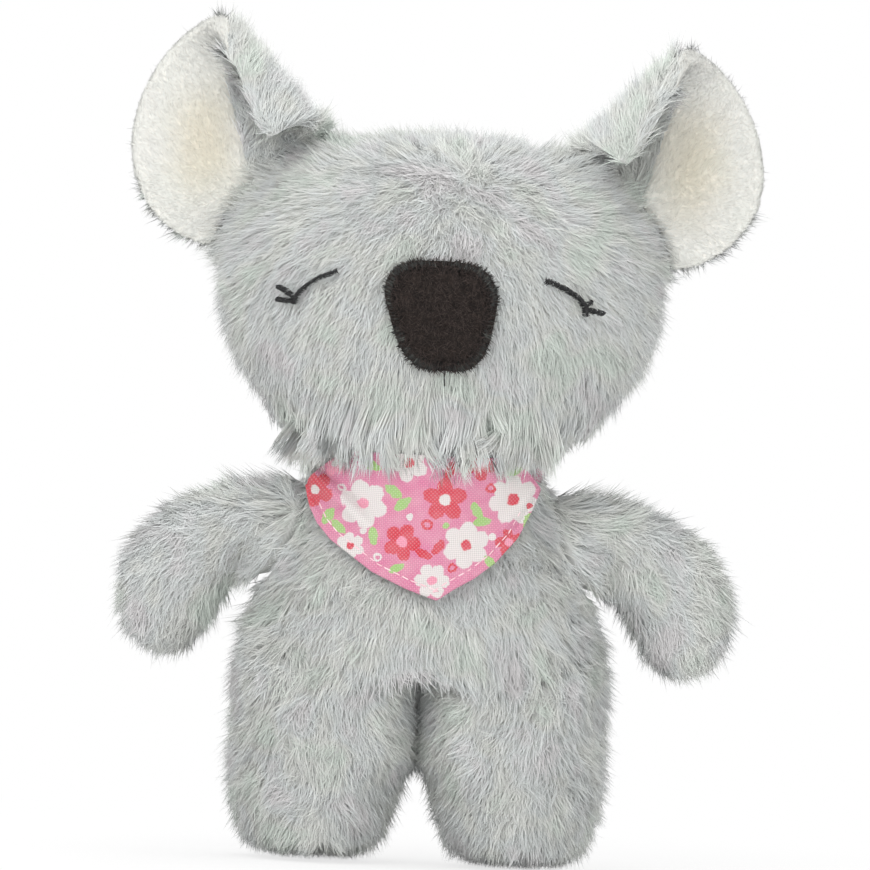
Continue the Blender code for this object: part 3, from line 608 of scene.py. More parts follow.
def backing_of(form, name, depth, neighbours, seam):
    """The skin under the pile: the form drawn in by the depth of the lying pile, but not where it meets another."""
    bm = bmesh.new()
    bm.from_mesh(form.data)
    bm.normal_update()
    drawn = []
    for vertex in bm.verts:
        own = depth(vertex.co, vertex.normal) if callable(depth) else depth
        if pressed(vertex.co, vertex.normal, neighbours, seam):
            own = SEAM_DEPTH
        drawn.append(vertex.co - vertex.normal * own)
    for vertex, spot in zip(bm.verts, drawn):
        vertex.co = spot
    for _ in range(4):
        bmesh.ops.smooth_vert(bm, verts=bm.verts, factor=0.5, use_axis_x=True, use_axis_y=True, use_axis_z=True)
    bm.normal_update()
    backing = shown(name, bm)
    backing.data.shade_smooth()
    return backing


# The ears: middle across and up, and the rim's distance from it at angles from straight outwards
EAR_MIDDLE = (0.0570, 0.1710)
EAR_RIM = (
    (-180, 0.0400),
    (-110, 0.0400),
    (-95, 0.0293),
    (-82, 0.0270),
    (-63, 0.0236),
    (-38, 0.0205),
    (-20, 0.0194),
    (2, 0.0185),
    (31, 0.0194),
    (57, 0.0220),
    (77, 0.0259),
    (93, 0.0293),
    (104, 0.0309),
    (114, 0.0295),
    (127, 0.0264),
    (150, 0.0250),
    (176, 0.0275),
)
EAR_DEPTH = 0.0019
LINING_DEPTH = 0.0007

# Name, CAD nodes, body, voxel of the skin, depth of the pile
PELTS = (
    ("head", ("head_skin", "head_stuffing"), "head", 0.0016, 0.0038),
    ("body", ("body_skin", "body_stuffing"), "torso", 0.0016, 0.0038),
    ("neck", ("neck_stuffing",), "neck", 0.0016, 0.0030),
    ("left_arm", ("left_arm_skin", "left_arm_stuffing"), "left_arm", 0.0012, 0.0036),
    ("right_arm", ("right_arm_skin", "right_arm_stuffing"), "right_arm", 0.0012, 0.0036),
    ("left_leg", ("left_leg_skin", "left_leg_stuffing"), "left_leg", 0.0016, 0.0038),
    ("right_leg", ("right_leg_skin", "right_leg_stuffing"), "right_leg", 0.0016, 0.0038),
    ("left_ear", ("left_ear_back", "left_ear_lining"), "left_ear", 0.0008, EAR_DEPTH),
    ("right_ear", ("right_ear_back", "right_ear_lining"), "right_ear", 0.0008, EAR_DEPTH),
)


# What each stuffed form touches
NEIGHBOURS = {
    "head": ("left_ear", "right_ear", "neck"),
    "body": ("neck", "left_arm", "right_arm", "left_leg", "right_leg"),
    "neck": ("head", "body"),
    "left_arm": ("body",),
    "right_arm": ("body",),
    "left_leg": ("body", "right_leg"),
    "right_leg": ("body", "left_leg"),
    "left_ear": ("head",),
    "right_ear": ("head",),
}
# What the pile of each form may lie on, besides its own backing
LAID_ON = {
    "head": ("left_ear", "right_ear"),
    "body": ("left_arm", "right_arm", "left_leg", "right_leg"),
    "neck": (),
    "left_leg": ("body",),
    "right_leg": ("body",),
}


def joint_tree(meshes):
    bm = bmesh.new()
    for data in meshes:
        bm.from_mesh(data)
    tree = BVHTree.FromBMesh(bm)
    bm.free()
    return tree


def rim_share(x, z):
    """0 in the middle of an ear seen from ahead, 1 on its rim, and the angle there in degrees."""
    across, up = abs(x) - EAR_MIDDLE[0], z - EAR_MIDDLE[1]
    angle = math.degrees(math.atan2(up, across))
    return math.hypot(across, up) / float(np.interp(angle, *zip(*EAR_RIM))), angle


def inside_hollow(spot):
    """True on the open side of the line between the ear's cream hollow and its grey roll."""
    edge = np.interp(spot.z, (0.150, 0.156, 0.163, 0.182, 0.200), (0.0400, 0.0430, 0.0475, 0.0530, 0.0540))
    return abs(spot.x) > edge


def cream_test(name):
    """A test for the cream side of an ear, which goes round the rim except along the lower edge."""
    back, lining = node_tree_of(f"{name}_back"), node_tree_of(f"{name}_lining")

    def cream(spot, normal):
        if not inside_hollow(spot):
            return False
        share, angle = rim_share(spot.x, spot.z)
        if share > 0.8 and -35 < angle < 110:
            return normal.y < 0.45
        if normal.y < -0.2 and spot.z > 0.160:
            return True
        tip = spot + normal * 0.0007
        return lining.find_nearest(tip)[3] < back.find_nearest(tip)[3]

    return cream


def leg_depth(spot, normal):
    """The legs' backing stays fuller where they meet between them."""
    inner = smoothstep((0.016 - abs(spot.x)) / 0.008) * smoothstep((spot.z - 0.020) / 0.006)
    top = smoothstep((spot.z - 0.034) / 0.010)
    return 0.0038 - max(0.0028 * inner, 0.0016 * top)


def make_pelts():
    pelts = {}
    forms = {
        name: smooth_form(f"{name}_form", nodes, voxel, 0.0040 if "ear" in name else 0.0) for name, nodes, _, voxel, _ in PELTS
    }
    for vertex in forms["left_ear"].data.vertices:
        vertex.co.z -= 0.0022 * smoothstep((vertex.co.z - 0.152) / 0.02)
    form_trees = {name: tree_of(form.data) for name, form in forms.items()}
    for name, nodes, body, _, depth in PELTS:
        neighbours = [form_trees[other] for other in NEIGHBOURS[name]]
        drawn_in = depth
        if "ear" in name:
            cream = cream_test(name)
            drawn_in = lambda spot, normal: LINING_DEPTH if cream(spot, normal) else EAR_DEPTH
        if "leg" in name:
            drawn_in = leg_depth
        seam = 0.0022 if "arm" in name else 0.0030
        backing = backing_of(forms[name], f"{name}_backing", drawn_in, neighbours, seam)
        backing.data.materials.append(GREY_KNIT)
        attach(backing, body)
        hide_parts(*nodes)
        pelts[name] = {
            "form": form_trees[name],
            "neighbours": neighbours,
            "mesh": backing.data,
            "depth": depth,
            "body": body,
        }
        bpy.data.objects.remove(forms[name])
    for name, pelt in pelts.items():
        joined = LAID_ON.get(name, NEIGHBOURS[name])
        pelt["ground"] = joint_tree([pelt["mesh"]] + [pelts[other]["mesh"] for other in joined])
    return pelts


# Pile: locks are combed over the backing, then filled with fibres


def scatter(data, density, seed):
    """Random places on a mesh with the surface's direction there."""
    data.calc_loop_triangles()
    corners = rows(data.loop_triangles, "vertices")
    places = rows(data.vertices, "co")
    normals = rows(data.vertices, "normal")
    a, b, c = (places[corners[:, i]] for i in range(3))
    area = np.linalg.norm(np.cross(b - a, c - a), axis=1) / 2
    rng = np.random.default_rng(seed)
    picked = rng.choice(len(area), int(area.sum() * density), p=area / area.sum())
    u, v = rng.random((2, len(picked)))
    over = u + v > 1
    u[over], v[over] = 1 - u[over], 1 - v[over]
    w = np.stack((1 - u - v, u, v), axis=1)[:, :, None]
    spots_found = (places[corners[picked]] * w).sum(axis=1)
    return spots_found, unit((normals[corners[picked]] * w).sum(axis=1)), rng


def covered(root, normal, pelt):
    """True where the pile would grow into another form that lies against this one."""
    return pressed(root + normal * SEAM_DEPTH, normal, pelt["neighbours"], 0.0010)


def along_surface(flow, up):
    """A direction turned out of a surface that it runs into. One that leaves the surface stays, as hanging pile does."""
    into = flow.dot(up)
    return flow - up * into if into < 0 else flow - up * (into * 0.35)


def lay(root, normal, flow, length, rise, hang, ground):
    """The nodes of a lock that leaves the backing and lies down along the flow, with its heights."""
    feet, heights = [root], [Vector()]
    way = along_surface(flow, normal)
    combed = min(1.0, flow.length)
    heading = (way.normalized() * combed + normal * 0.75).normalized()
    spot = root.copy()
    step = length / (LOCK_NODES - 1)
    for i in range(1, LOCK_NODES):
        share = i / (LOCK_NODES - 1)
        spot = spot + heading * step
        foot, up, _, _ = ground.find_nearest(spot)
        height = (spot - foot).dot(up)
        wanted = rise * share**0.85
        hug = hang if up.z < -0.15 and height > wanted else 0.9
        spot = spot + up * ((wanted - height) * hug)
        foot, up, _, _ = ground.find_nearest(spot)
        lift = up * min(rise, max(0.0, (spot - foot).dot(up)))
        feet.append(spot - lift)
        heights.append(lift)
        way = along_surface(flow, up)
        if way.length > 0.05:
            heading = (way.normalized() + heading * 0.35 - up * (heading.dot(up) * 0.2)).normalized()
    return feet, heights


def comb(pelt, flow, length, rise, density, seed, hang=0.15, wanted=None):
    """Locks over a backing: their nodes' feet and heights, and a place above each that tells thin sides apart."""
    roots, normals, rng = scatter(pelt["mesh"], density, seed)
    feet, heights, keys = [], [], []
    for root, normal in zip(roots, normals):
        root, normal = Vector(root), Vector(normal)
        if wanted and not wanted(root, normal):
            continue
        if covered(root, normal, pelt):
            continue
        sway = noise.noise_vector(root * 50.0) * 0.40 + noise.noise_vector(root * 170.0) * 0.55
        sway += Vector(rng.normal(0, 0.30, 3))
        way = flow(root, normal) + sway
        own = (length(root) if callable(length) else length) * (0.85 + 0.3 * rng.random())
        high = rise(root) if callable(rise) else rise
        hug = hang(root) if callable(hang) else hang
        lock = lay(root, normal, way, own, min(high, own * 0.62) * (0.85 + 0.3 * rng.random()), hug, pelt["ground"])
        feet.append([tuple(p) for p in lock[0]])
        heights.append([tuple(p) for p in lock[1]])
        keys.append(tuple(root + normal * KEY_LIFT))
    return np.array(feet), np.array(heights), keys


def fibre_shape(sides, rings):
    """A round fibre that ends in a point: its rings, directions, triangles and flat layout."""
    bm = bmesh.new()
    bmesh.ops.create_cone(bm, cap_ends=True, segments=sides, radius1=1, radius2=0, depth=1)
    for i in range(1, rings - 1):
        geometry = bm.verts[:] + bm.edges[:] + bm.faces[:]
        bmesh.ops.bisect_plane(bm, geom=geometry, plane_co=(0, 0, i / (rings - 1) - 0.5), plane_no=(0, 0, 1))
    bmesh.ops.triangulate(bm, faces=bm.faces)
    bm.normal_update()
    bm.verts.index_update()
    ring = [round((v.co.z + 0.5) * (rings - 1)) for v in bm.verts]
    angle = [math.atan2(v.co.y, v.co.x) for v in bm.verts]
    faces, layout = [], []
    for face in bm.faces:
        faces.append([v.index for v in face.verts])
        corners = []
        if face.normal.z < -0.9:
            corners = [(0.94 + 0.04 * math.cos(angle[i]), 0.5 + 0.4 * math.sin(angle[i])) for i in faces[-1]]
        else:
            middle = face.calc_center_median()
            turn = 2 * math.pi / sides
            first = angle[next(v.index for v in bm.verts if ring[v.index] == 0)]
            column = math.floor(((math.atan2(middle.y, middle.x) - first) % (2 * math.pi)) / turn)
            for i in faces[-1]:
                off = ((angle[i] - first) % (2 * math.pi)) / turn - column
                off = 0.5 if ring[i] == rings - 1 else (1.0 if off > 0.5 or off < -0.5 else 0.0)
                corners.append(((column + 0.06 + 0.88 * off) / sides * 0.86 + 0.01, 0.03 + 0.94 * ring[i] / (rings - 1)))
        layout.append(corners)
    bm.free()
    return np.array(ring), np.array(angle), np.array(faces), np.array(layout)


FUR_FIBRE = fibre_shape(3, len(FIBRE_PLACES))
BLUNT_FIBRE = fibre_shape(3, 3)
THREAD_FIBRE = fibre_shape(5, 6)


def bundle(name, shape, paths, normals, widths, tones, rolls, look, soft=0.0):
    """One piece of many fibres that follow their paths. widths has one value for each node of each path.
    soft turns their shading towards the surface's, as the light that wanders through real pile does."""
    ring, angle, faces, layout = shape
    count = len(paths)
    along = np.empty_like(paths)
    along[:, 1:-1] = paths[:, 2:] - paths[:, :-2]
    along[:, 0] = paths[:, 1] - paths[:, 0]
    along[:, -1] = paths[:, -1] - paths[:, -2]
    along = unit(along)
    side = unit(np.cross(along, normals[:, None, :]))
    out = np.cross(side, along)
    turn = angle[None, :] + rolls[:, None]
    radii = widths[:, ring] / 2
    radii[:, ring == len(paths[0]) - 1] = 0
    spots_made = (
        paths[:, ring]
        + side[:, ring] * (np.cos(turn) * radii)[:, :, None]
        + out[:, ring] * (np.sin(turn) * radii)[:, :, None]
    )
    data = bpy.data.meshes.new(name)
    corners = (faces[None, :, ::-1] + (np.arange(count) * len(ring))[:, None, None]).astype(np.int32)
    data.vertices.add(count * len(ring))
    data.vertices.foreach_set("co", spots_made.ravel())
    data.loops.add(corners.size)
    data.loops.foreach_set("vertex_index", corners.ravel())
    data.polygons.add(corners.size // 3)
    data.polygons.foreach_set("loop_start", np.arange(0, corners.size, 3, dtype=np.int32))
    data.update(calc_edges=True)
    share = np.broadcast_to((ring / (len(paths[0]) - 1))[None, :], (count, len(ring)))
    values = np.stack((share, np.repeat(tones[:, :1], len(ring), 1), np.repeat(tones[:, 1:], len(ring), 1)), axis=2)
    data.attributes.new("strand", "FLOAT_VECTOR", "POINT").data.foreach_set("vector", values.ravel())
    grid = math.ceil(math.sqrt(count))
    cell = np.stack((np.arange(count) % grid, np.arange(count) // grid), axis=1)[:, None, None, :]
    flat = (cell + layout[None, :, ::-1]) / grid
    data.uv_layers.new(name="OFBake").data.foreach_set("uv", flat.ravel())
    data.shade_smooth()
    if soft:
        skin = np.broadcast_to(normals[:, None, :], spots_made.shape)
        own = side[:, ring] * np.cos(turn)[:, :, None] + out[:, ring] * np.sin(turn)[:, :, None]
        data.normals_split_custom_set_from_vertices(unit(own * (1 - soft) + skin * soft).reshape(-1, 3))
    data.materials.append(look)
    obj = bpy.data.objects.new(name, data)
    bpy.context.scene.collection.objects.link(obj)
    return obj


def grow(pelt, locks, density, seed, width, clump=0.4, shortest=0.5, stray=0.0010, wanted=None, places=FIBRE_PLACES, profile=(1.0, 0.0)):
    """Fibres between the locks, each a little off its lock: paths, directions, widths and tones."""
    roots, normals, rng = scatter(pelt["mesh"], density * FUR_SHARE, seed)
    feet, heights, keys = locks
    finder = KDTree(len(keys))
    for i, key in enumerate(keys):
        finder.insert(key, i)
    finder.balance()
    nearest = np.array([finder.find(key)[1:] for key in roots + normals * KEY_LIFT])
    kept = nearest[:, 1] < 0.0050
    if wanted:
        kept &= np.array([wanted(Vector(p), Vector(n)) for p, n in zip(roots, normals)])
    kept &= np.array([not covered(Vector(p), Vector(n), pelt) for p, n in zip(roots, normals)])
    roots, normals, nearest = roots[kept], normals[kept], nearest[kept, 0].astype(int)
    count = len(roots)
    share = np.array(places)
    nodes = len(share)
    reach = shortest + (1 - shortest) * rng.random(count)
    place = share[None, :] * reach[:, None] * (LOCK_NODES - 1)
    low = np.minimum(place.astype(int), LOCK_NODES - 2)
    rest = (place - low)[:, :, None]
    pick = nearest[:, None]
    foot = feet[pick, low] * (1 - rest) + feet[pick, low + 1] * rest
    lift = heights[pick, low] * (1 - rest) + heights[pick, low + 1] * rest
    off = (roots - feet[nearest, 0])[:, None, :] * (1 - clump * share)[None, :, None]
    off -= normals[:, None, :] * (off * normals[:, None, :]).sum(axis=2, keepdims=True) * share[None, :, None]
    rise = 0.35 + 0.85 * rng.random(count) ** 0.8
    paths = foot + off + lift * rise[:, None, None]
    paths += rng.normal(0, stray, (count, 1, 3)) * (share**1.5)[None, :, None]
    paths += rng.normal(0, stray * 0.4, (count, nodes, 3)) * share[None, :, None]
    paths[:, :, 2] = np.maximum(paths[:, :, 2], 0.0004)
    widths = width * (0.7 + 0.6 * rng.random(count))[:, None] * np.array(profile)[None, :] / FUR_SHARE**0.5
    lock_tone = np.random.default_rng(seed + 1).random(len(feet))[nearest]
    tones = np.stack((lock_tone, rng.random(count)), axis=1)
    return {"paths": paths, "normals": normals, "widths": widths, "tones": tones, "rolls": rng.random(count) * 6.283}


def cut(pile, chosen):
    return {key: array[chosen] for key, array in pile.items()}


def line_ear(data, cream_side):
    """Gives the hollow of the ear its cream ground."""
    data.materials.append(CREAM_KNIT)
    for face in data.polygons:
        if cream_side(face.center, face.normal):
            face.material_index = 1


def fur_piece(name, pile, body, look, soft=0.8, shape=FUR_FIBRE):
    obj = bundle(name, shape, pile["paths"], pile["normals"], pile["widths"], pile["tones"], pile["rolls"], look, soft)
    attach(obj, body)
    return obj


# Directions in which the pile lies


def middle_of_chin(root):
    return smoothstep((0.039 - abs(root.x)) / 0.009)


def head_flow(root, normal):
    """Away from the crown, where the pile stands up, down over the brow and steeper down the cheeks."""
    away = root - CROWN
    combed = 0.10 + 0.90 * smoothstep(away.length / 0.026)
    below = smoothstep((CROWN.z - root.z) / 0.06)
    brow = smoothstep((-0.010 - root.y) / 0.02) * smoothstep((0.176 - root.z) / 0.02)
    chin = smoothstep((0.117 - root.z) / 0.010)
    fore = smoothstep((-0.005 - root.y) / 0.015)
    parted = (root.x - 0.0035) / 0.0040
    side = 0.35 * parted * math.exp(-(parted**2)) * smoothstep((0.113 - root.z) / 0.004)
    inward = -math.copysign(0.9, root.x) * smoothstep((abs(root.x) - 0.026) / 0.010) * smoothstep((0.124 - root.z) / 0.014)
    out = Vector((side, -0.45 * middle_of_chin(root), 0)) * (chin * fore) + Vector((inward, 0, 0))
    return (away.normalized() * (1 - 0.7 * chin) + DOWN * (0.15 + 0.65 * below + 0.45 * brow) + out) * combed


def head_flow_onto(ears):
    """The head's flow, turned towards the ears close to them, so that the pile hides the seam."""

    def flow(root, normal):
        way = head_flow(root, normal)
        for ear in ears:
            near, _, _, gap = ear.find_nearest(root, 0.010)
            if near:
                way += (near - root).normalized() * (1.3 * (1 - gap / 0.010))
        return way

    return flow


def head_length(root):
    """The pile is longest under the chin, where it hangs over the neckerchief."""
    edge = smoothstep((0.118 - root.z) / 0.010) * middle_of_chin(root)
    fore = smoothstep((0.005 - root.y) / 0.015)
    fall = root.z - float(np.interp(root.x, *zip(*CHIN_ENDS)))
    return GREY["length"] + edge * fore * max(0.0, min(0.0105, fall * 1.1 - GREY["length"] + 0.0022))


def head_length_onto(ears):
    """The head's lengths, with pile that laps over the edge of the ears."""

    def length(root):
        gap = min(ear.find_nearest(root, 0.008)[3] or 0.008 for ear in ears)
        return head_length(root) + 0.0032 * (1 - gap / 0.008)

    return length


def head_hang(root):
    """The pile hangs free under the chin and lies on the jaw beside it."""
    return 0.85 * (1 - middle_of_chin(root))


def under_chin(root, normal):
    return root.z < 0.112 and root.y < 0.002 and abs(root.x) < 0.040


def body_length(root):
    """Of many lengths at the hips, so that the pile runs on into that of the legs."""
    hem = smoothstep((0.067 - root.z) / 0.010)
    return GREY["length"] * (1 + hem * (0.50 + 0.9 * noise.noise(root * 700.0)))


def above_legs(root, normal):
    return normal.z > -0.70


def body_flow(root, normal):
    return DOWN + Vector((root.x * 5 * smoothstep((root.z - 0.056) / 0.012), 0, 0))


def leg_flow(root, normal):
    side = math.copysign(0.0235, root.x)
    inward = 26 * smoothstep((0.020 - root.z) / 0.018) - 4
    meeting = smoothstep((0.018 - abs(root.x)) / 0.008) * smoothstep((root.z - 0.022) / 0.008)
    return DOWN - Vector((root.x - side, root.y, 0)) * inward - Vector((math.copysign(0.5 * meeting, side), 0, 0))


def neck_flow(root, normal):
    return DOWN


def shoulder(root):
    high = 1.7 if root.x < 0 else 1.3
    return high * smoothstep((0.052 - abs(root.x)) / 0.012) * smoothstep((root.z - 0.072) / 0.012)


def arm_length(root):
    return GREY["length"] + 0.0025 * shoulder(root)


def arm_rise(root):
    """The pile stands up round the shoulders."""
    return GREY["rise"] + 0.0030 * shoulder(root)


def arm_flow(root, normal):
    side = math.copysign(1, root.x)
    along = smoothstep((abs(root.x) - 0.035) / 0.035)
    return Vector((side * (1.0 - 0.55 * along), 0, -0.45 - 0.5 * along))


def ear_flow(root, normal):
    """From the ear's root to its rim and hanging along its lower edge, but up along the roll."""
    side = math.copysign(1, root.x)
    base = Vector((EAR_ROOT.x * side, EAR_ROOT.y, EAR_ROOT.z))
    away = (root - base).normalized() + DOWN * 0.6 * smoothstep((0.168 - root.z) / 0.02)
    return away if inside_hollow(root) else away * 0.2 + Vector((-0.35 * side, 0, 0.96))


def ear_length(root):
    """Long pile on the roll and along the lower edge, short at the rim."""
    share, angle = rim_share(root.x, root.z)
    short = smoothstep((share - 0.55) / 0.3) if -30 < angle < 92 else 0.0
    fringe = 0.85 if -110 < angle <= -30 else 0.0
    return min(0.0066 - 0.0042 * max(short, fringe, 0.2 * ear_base(root)), max(0.0015, 0.2025 - root.z))


def ear_base(root):
    return smoothstep((0.050 - abs(root[0])) / 0.010) * smoothstep((0.187 - root[2]) / 0.008)


def lit_ear(pile):
    """Turns the shading of the roll and the ear's base forwards, as light passes through the loose pile there."""
    for i, (root, normal) in enumerate(zip(pile["paths"][:, 0], pile["normals"])):
        turn = max(0.9 * ear_base(root), 0.75 if normal[1] < 0.3 else 0.0)
        pile["normals"][i] = normal * (1 - turn) + np.array((0.0, -0.80, 0.60)) * turn
    pile["normals"] = unit(pile["normals"])
    return pile


# Face


def nose_edge(angle, inset=0.0):
    """The nose's outline across and up at an angle: a squared oval that narrows towards the chin."""
    power = 2 / NOSE_SQUARENESS
    across = math.copysign(abs(math.cos(angle)) ** power, math.cos(angle))
    up = math.copysign(abs(math.sin(angle)) ** power, math.sin(angle))
    narrowed = max(0.0, NOSE_NARROWING_SHARE - up) / (1 + NOSE_NARROWING_SHARE)
    half = NOSE_WIDTH / 2 * (1 - (1 - NOSE_CHIN_SHARE) * narrowed) - inset
    rise = (NOSE_HEIGHT / 2 - inset) * up
    return Vector((half * across - NOSE_LEAN * rise, rise))


def nose_share(x, z):
    """0 in the middle of the nose, 1 on its outline and more beyond it."""
    up = (z - NOSE_MIDDLE) / (NOSE_HEIGHT / 2)
    narrowed = max(0.0, NOSE_NARROWING_SHARE - max(-1.0, min(1.0, up))) / (1 + NOSE_NARROWING_SHARE)
    across = (x - NOSE_ACROSS + NOSE_LEAN * (z - NOSE_MIDDLE)) / (NOSE_WIDTH / 2 * (1 - (1 - NOSE_CHIN_SHARE) * narrowed))
    return (abs(across) ** NOSE_SQUARENESS + abs(up) ** NOSE_SQUARENESS) ** (1 / NOSE_SQUARENESS)


def on_front(form, x, z, lift=0.0):
    """The point of a form's front at a place across and up, lifted off it, and its direction."""
    spot, normal, _, _ = form.ray_cast(Vector((x, -0.2, z)), Vector((0, 1, 0)))
    return (spot + normal * lift, normal) if spot else (None, None)


def press_under_face(pile, form):
    """Lowers the fibres under the nose and beside the eyes' stitches, and leaves out those under the nose."""
    lines = [np.array(line) for side in LIDS for line in (LIDS[side], *LASHES[side])]
    steps = np.concatenate([
        np.stack([np.interp(np.linspace(0, len(line) - 1, 24), range(len(line)), line[:, i]) for i in (0, 1)], axis=1)
        for line in lines
    ])
    paths = pile["paths"]
    kept = np.ones(len(paths), bool)
    front = (paths[:, 0, 1] < -0.015) & (abs(paths[:, 0, 0]) < 0.05) & (paths[:, 0, 2] > 0.108) & (paths[:, 0, 2] < 0.155)
    for i in np.nonzero(front)[0]:
        covered = 0
        for j in range(paths.shape[1]):
            x, y, z = paths[i, j]
            depth = 0.0
            if nose_share(x, z) < 1.02:
                covered += 1
                depth = 0.0012
            gap = np.sqrt(((steps - (x, z)) ** 2).sum(axis=1).min())
            if gap < 0.0026:
                depth = max(depth, 0.0011 * (1 - (gap / 0.0026) ** 2) + 0.0003)
            if depth:
                top, _ = on_front(form, x, z)
                if top:
                    paths[i, j, 1] = max(y, top.y + depth)
        kept[i] = covered < paths.shape[1]
    return cut(pile, kept)


def face_stitches(rng, centres, ways, length, width, form, lift):
    """Short arched threads across a line on the face: their paths, directions, widths and tones."""
    nodes = 6
    share = np.linspace(-1, 1, nodes)
    paths, normals, widths = [], [], []
    for centre, way in zip(centres, ways):
        own = length * (0.75 + 0.55 * rng.random())
        slide = rng.normal(0, length * 0.08)
        tilt = rng.random()
        line = []
        for s in share:
            x = centre[0] + way[0] * (s * own / 2 + slide)
            z = centre[1] + way[1] * (s * own / 2 + slide)
            arch = lift * (0.8 + 0.4 * tilt) * (1 - abs(s) ** 2.5) - 0.0004 * abs(s) ** 6
            spot, normal = on_front(form, x, z, arch)
            line.append(tuple(spot))
        paths.append(line)
        normals.append(tuple(normal))
        widths.append(width * (0.8 + 0.4 * rng.random()) * np.array((0.7, 1, 1, 1, 0.8, 0.4)))
    count = len(paths)
    return {
        "paths": np.array(paths),
        "normals": np.array(normals),
        "widths": np.array(widths),
        "tones": rng.random((count, 2)),
        "rolls": rng.random(count) * 6.283,
    }


def thread_piece(name, pile, body, look):
    obj = bundle(name, THREAD_FIBRE, pile["paths"], pile["normals"], pile["widths"], pile["tones"], pile["rolls"], look)
    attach(obj, body)
    return obj


def together(piles):
    return {key: np.concatenate([pile[key] for pile in piles]) for key in piles[0]}


def make_nose(form):
    """The felt patch, sunk at its rim, and the satin stitches round it."""
    bm = bmesh.new()
    bmesh.ops.create_grid(bm, x_segments=44, y_segments=44, size=1)
    rim = [v for v in bm.verts if v.is_boundary]
    for vertex in bm.verts:
        a, b = vertex.co.x, vertex.co.y
        share = max(abs(a), abs(b))
        edge = nose_edge(math.atan2(b, a)) if share else Vector((0, 0))
        x, z = NOSE_ACROSS + edge.x * share, NOSE_MIDDLE + edge.y * share
        crown = 0.0011 * smoothstep((0.80 - share) / 0.06) - 0.0010 * smoothstep((share - 0.93) / 0.07)
        crown += 0.00015 * noise.noise(Vector((x, 0, z)) * 420.0)
        spot, _ = on_front(form, x, z, 0.0004 + crown)
        vertex.co = spot
    border = [e for e in bm.edges if e.is_boundary]
    sunk = bmesh.ops.extrude_edge_only(bm, edges=border)["geom"]
    low = [v for v in sunk if isinstance(v, bmesh.types.BMVert)]
    for vertex in low:
        vertex.co += Vector(((NOSE_ACROSS - vertex.co.x) * 0.06, 0.0028, (NOSE_MIDDLE - vertex.co.z) * 0.06))
    bmesh.ops.contextual_create(bm, geom=low + [e for e in sunk if isinstance(e, bmesh.types.BMEdge)])
    bmesh.ops.recalc_face_normals(bm, faces=bm.faces)
    patch = shown("nose_felt", bm)
    patch.data.shade_smooth()
    patch.data.materials.append(NOSE_FELT)
    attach(patch, "head")
    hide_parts("nose_patch")
    rng = np.random.default_rng(41)
    count = 620
    centres, ways = [], []
    for i in range(count):
        angle = 2 * math.pi * (i + rng.random() * 0.9) / count
        outer, inner = nose_edge(angle), nose_edge(angle, NOSE_BORDER)
        middle = outer.lerp(inner, 0.45 + rng.normal(0, 0.04))
        way = (outer - inner).normalized() + Vector(rng.normal(0, 0.09, 2))
        centres.append((NOSE_ACROSS + middle.x, NOSE_MIDDLE + middle.y))
        ways.append((way.x, way.y))
    stitches = face_stitches(rng, centres, ways, 0.0030, 0.00027, form, 0.0013)
    below = nose_edge(-math.pi / 2)
    line = [(NOSE_ACROSS + below.x + 0.0001 * i, NOSE_MIDDLE + below.y - 0.0010 * i) for i in range(4)]
    tail = face_stitches(rng, line, [(0.1, -1.0)] * 4, 0.0012, 0.00030, form, 0.0006)
    stitches = together((stitches, tail))
    border_piece = thread_piece("nose_satin_border", stitches, "head", NOSE_THREAD)
    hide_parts("nose_border")
    return patch, border_piece


def nose_fuzz(form):
    """Loose fibres that stand off the felt."""
    rng = np.random.default_rng(43)
    count = int(4200 * FUR_SHARE)
    paths, normals = [], []
    while len(paths) < count:
        x, z = (rng.random(2) - 0.5) * (NOSE_WIDTH, NOSE_HEIGHT)
        x, z = x + NOSE_ACROSS, z + NOSE_MIDDLE
        share = nose_share(x, z)
        if share > 0.95:
            continue
        way = rng.normal(0, 1, 2)
        way = way / np.linalg.norm(way) * (0.0012 + 0.0014 * rng.random())
        line = []
        for s in FIBRE_PLACES:
            spot, normal = on_front(form, x + way[0] * s, z + way[1] * s, 0.0012 + 0.0006 * s * rng.random() + 0.0003 * (1 - share**4))
            line.append(tuple(spot))
        paths.append(line)
        normals.append(tuple(normal))
    pile = {
        "paths": np.array(paths),
        "normals": np.array(normals),
        "widths": np.full((count, len(FIBRE_PLACES)), 0.00024),
        "tones": rng.random((count, 2)),
        "rolls": rng.random(count) * 6.283,
    }
    return fur_piece("nose_fuzz", pile, "head", NOSE_HAIR)


def make_eye(side, form):
    """A closed lid and two lashes in satin stitch."""
    rng = np.random.default_rng(51 if side == "left" else 52)
    piles = []
    for line in (LIDS[side], *LASHES[side]):
        line = np.array(line)
        length = np.linalg.norm(np.diff(line, axis=0), axis=1).sum()
        count = int(length / 0.00009)
        place = np.linspace(0, len(line) - 1, count)
        centres = np.stack([np.interp(place, range(len(line)), line[:, i]) for i in (0, 1)], axis=1)
        run = unit(np.gradient(centres, axis=0))
        ways = np.stack((-run[:, 1], run[:, 0]), axis=1)
        ways = unit(ways + rng.normal(0, 0.24, ways.shape) + np.array((0.12 if side == "right" else -0.12, 0.0)))
        piles.append(face_stitches(rng, centres, ways, THREAD_WIDTH, 0.00020, form, 0.0007))
    eye = thread_piece(f"{side}_eye_stitches", together(piles), "head", EYE_THREAD)
    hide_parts(f"{side}_eye_stitching")
    return eye


# Darker roots here too: painted shade at the foot of the fibres
NOSE_HAIR = plush("felt fibres", PILE, (0.006, 0.004, 0.004, 1), (0.022, 0.016, 0.014, 1), (0.070, 0.054, 0.048, 1), 1.3, 0.0, 0.9)


# Neckerchief


FLAP_LEFT, FLAP_RIGHT = FLAP_BELOW[0][0], FLAP_BELOW[-1][0]


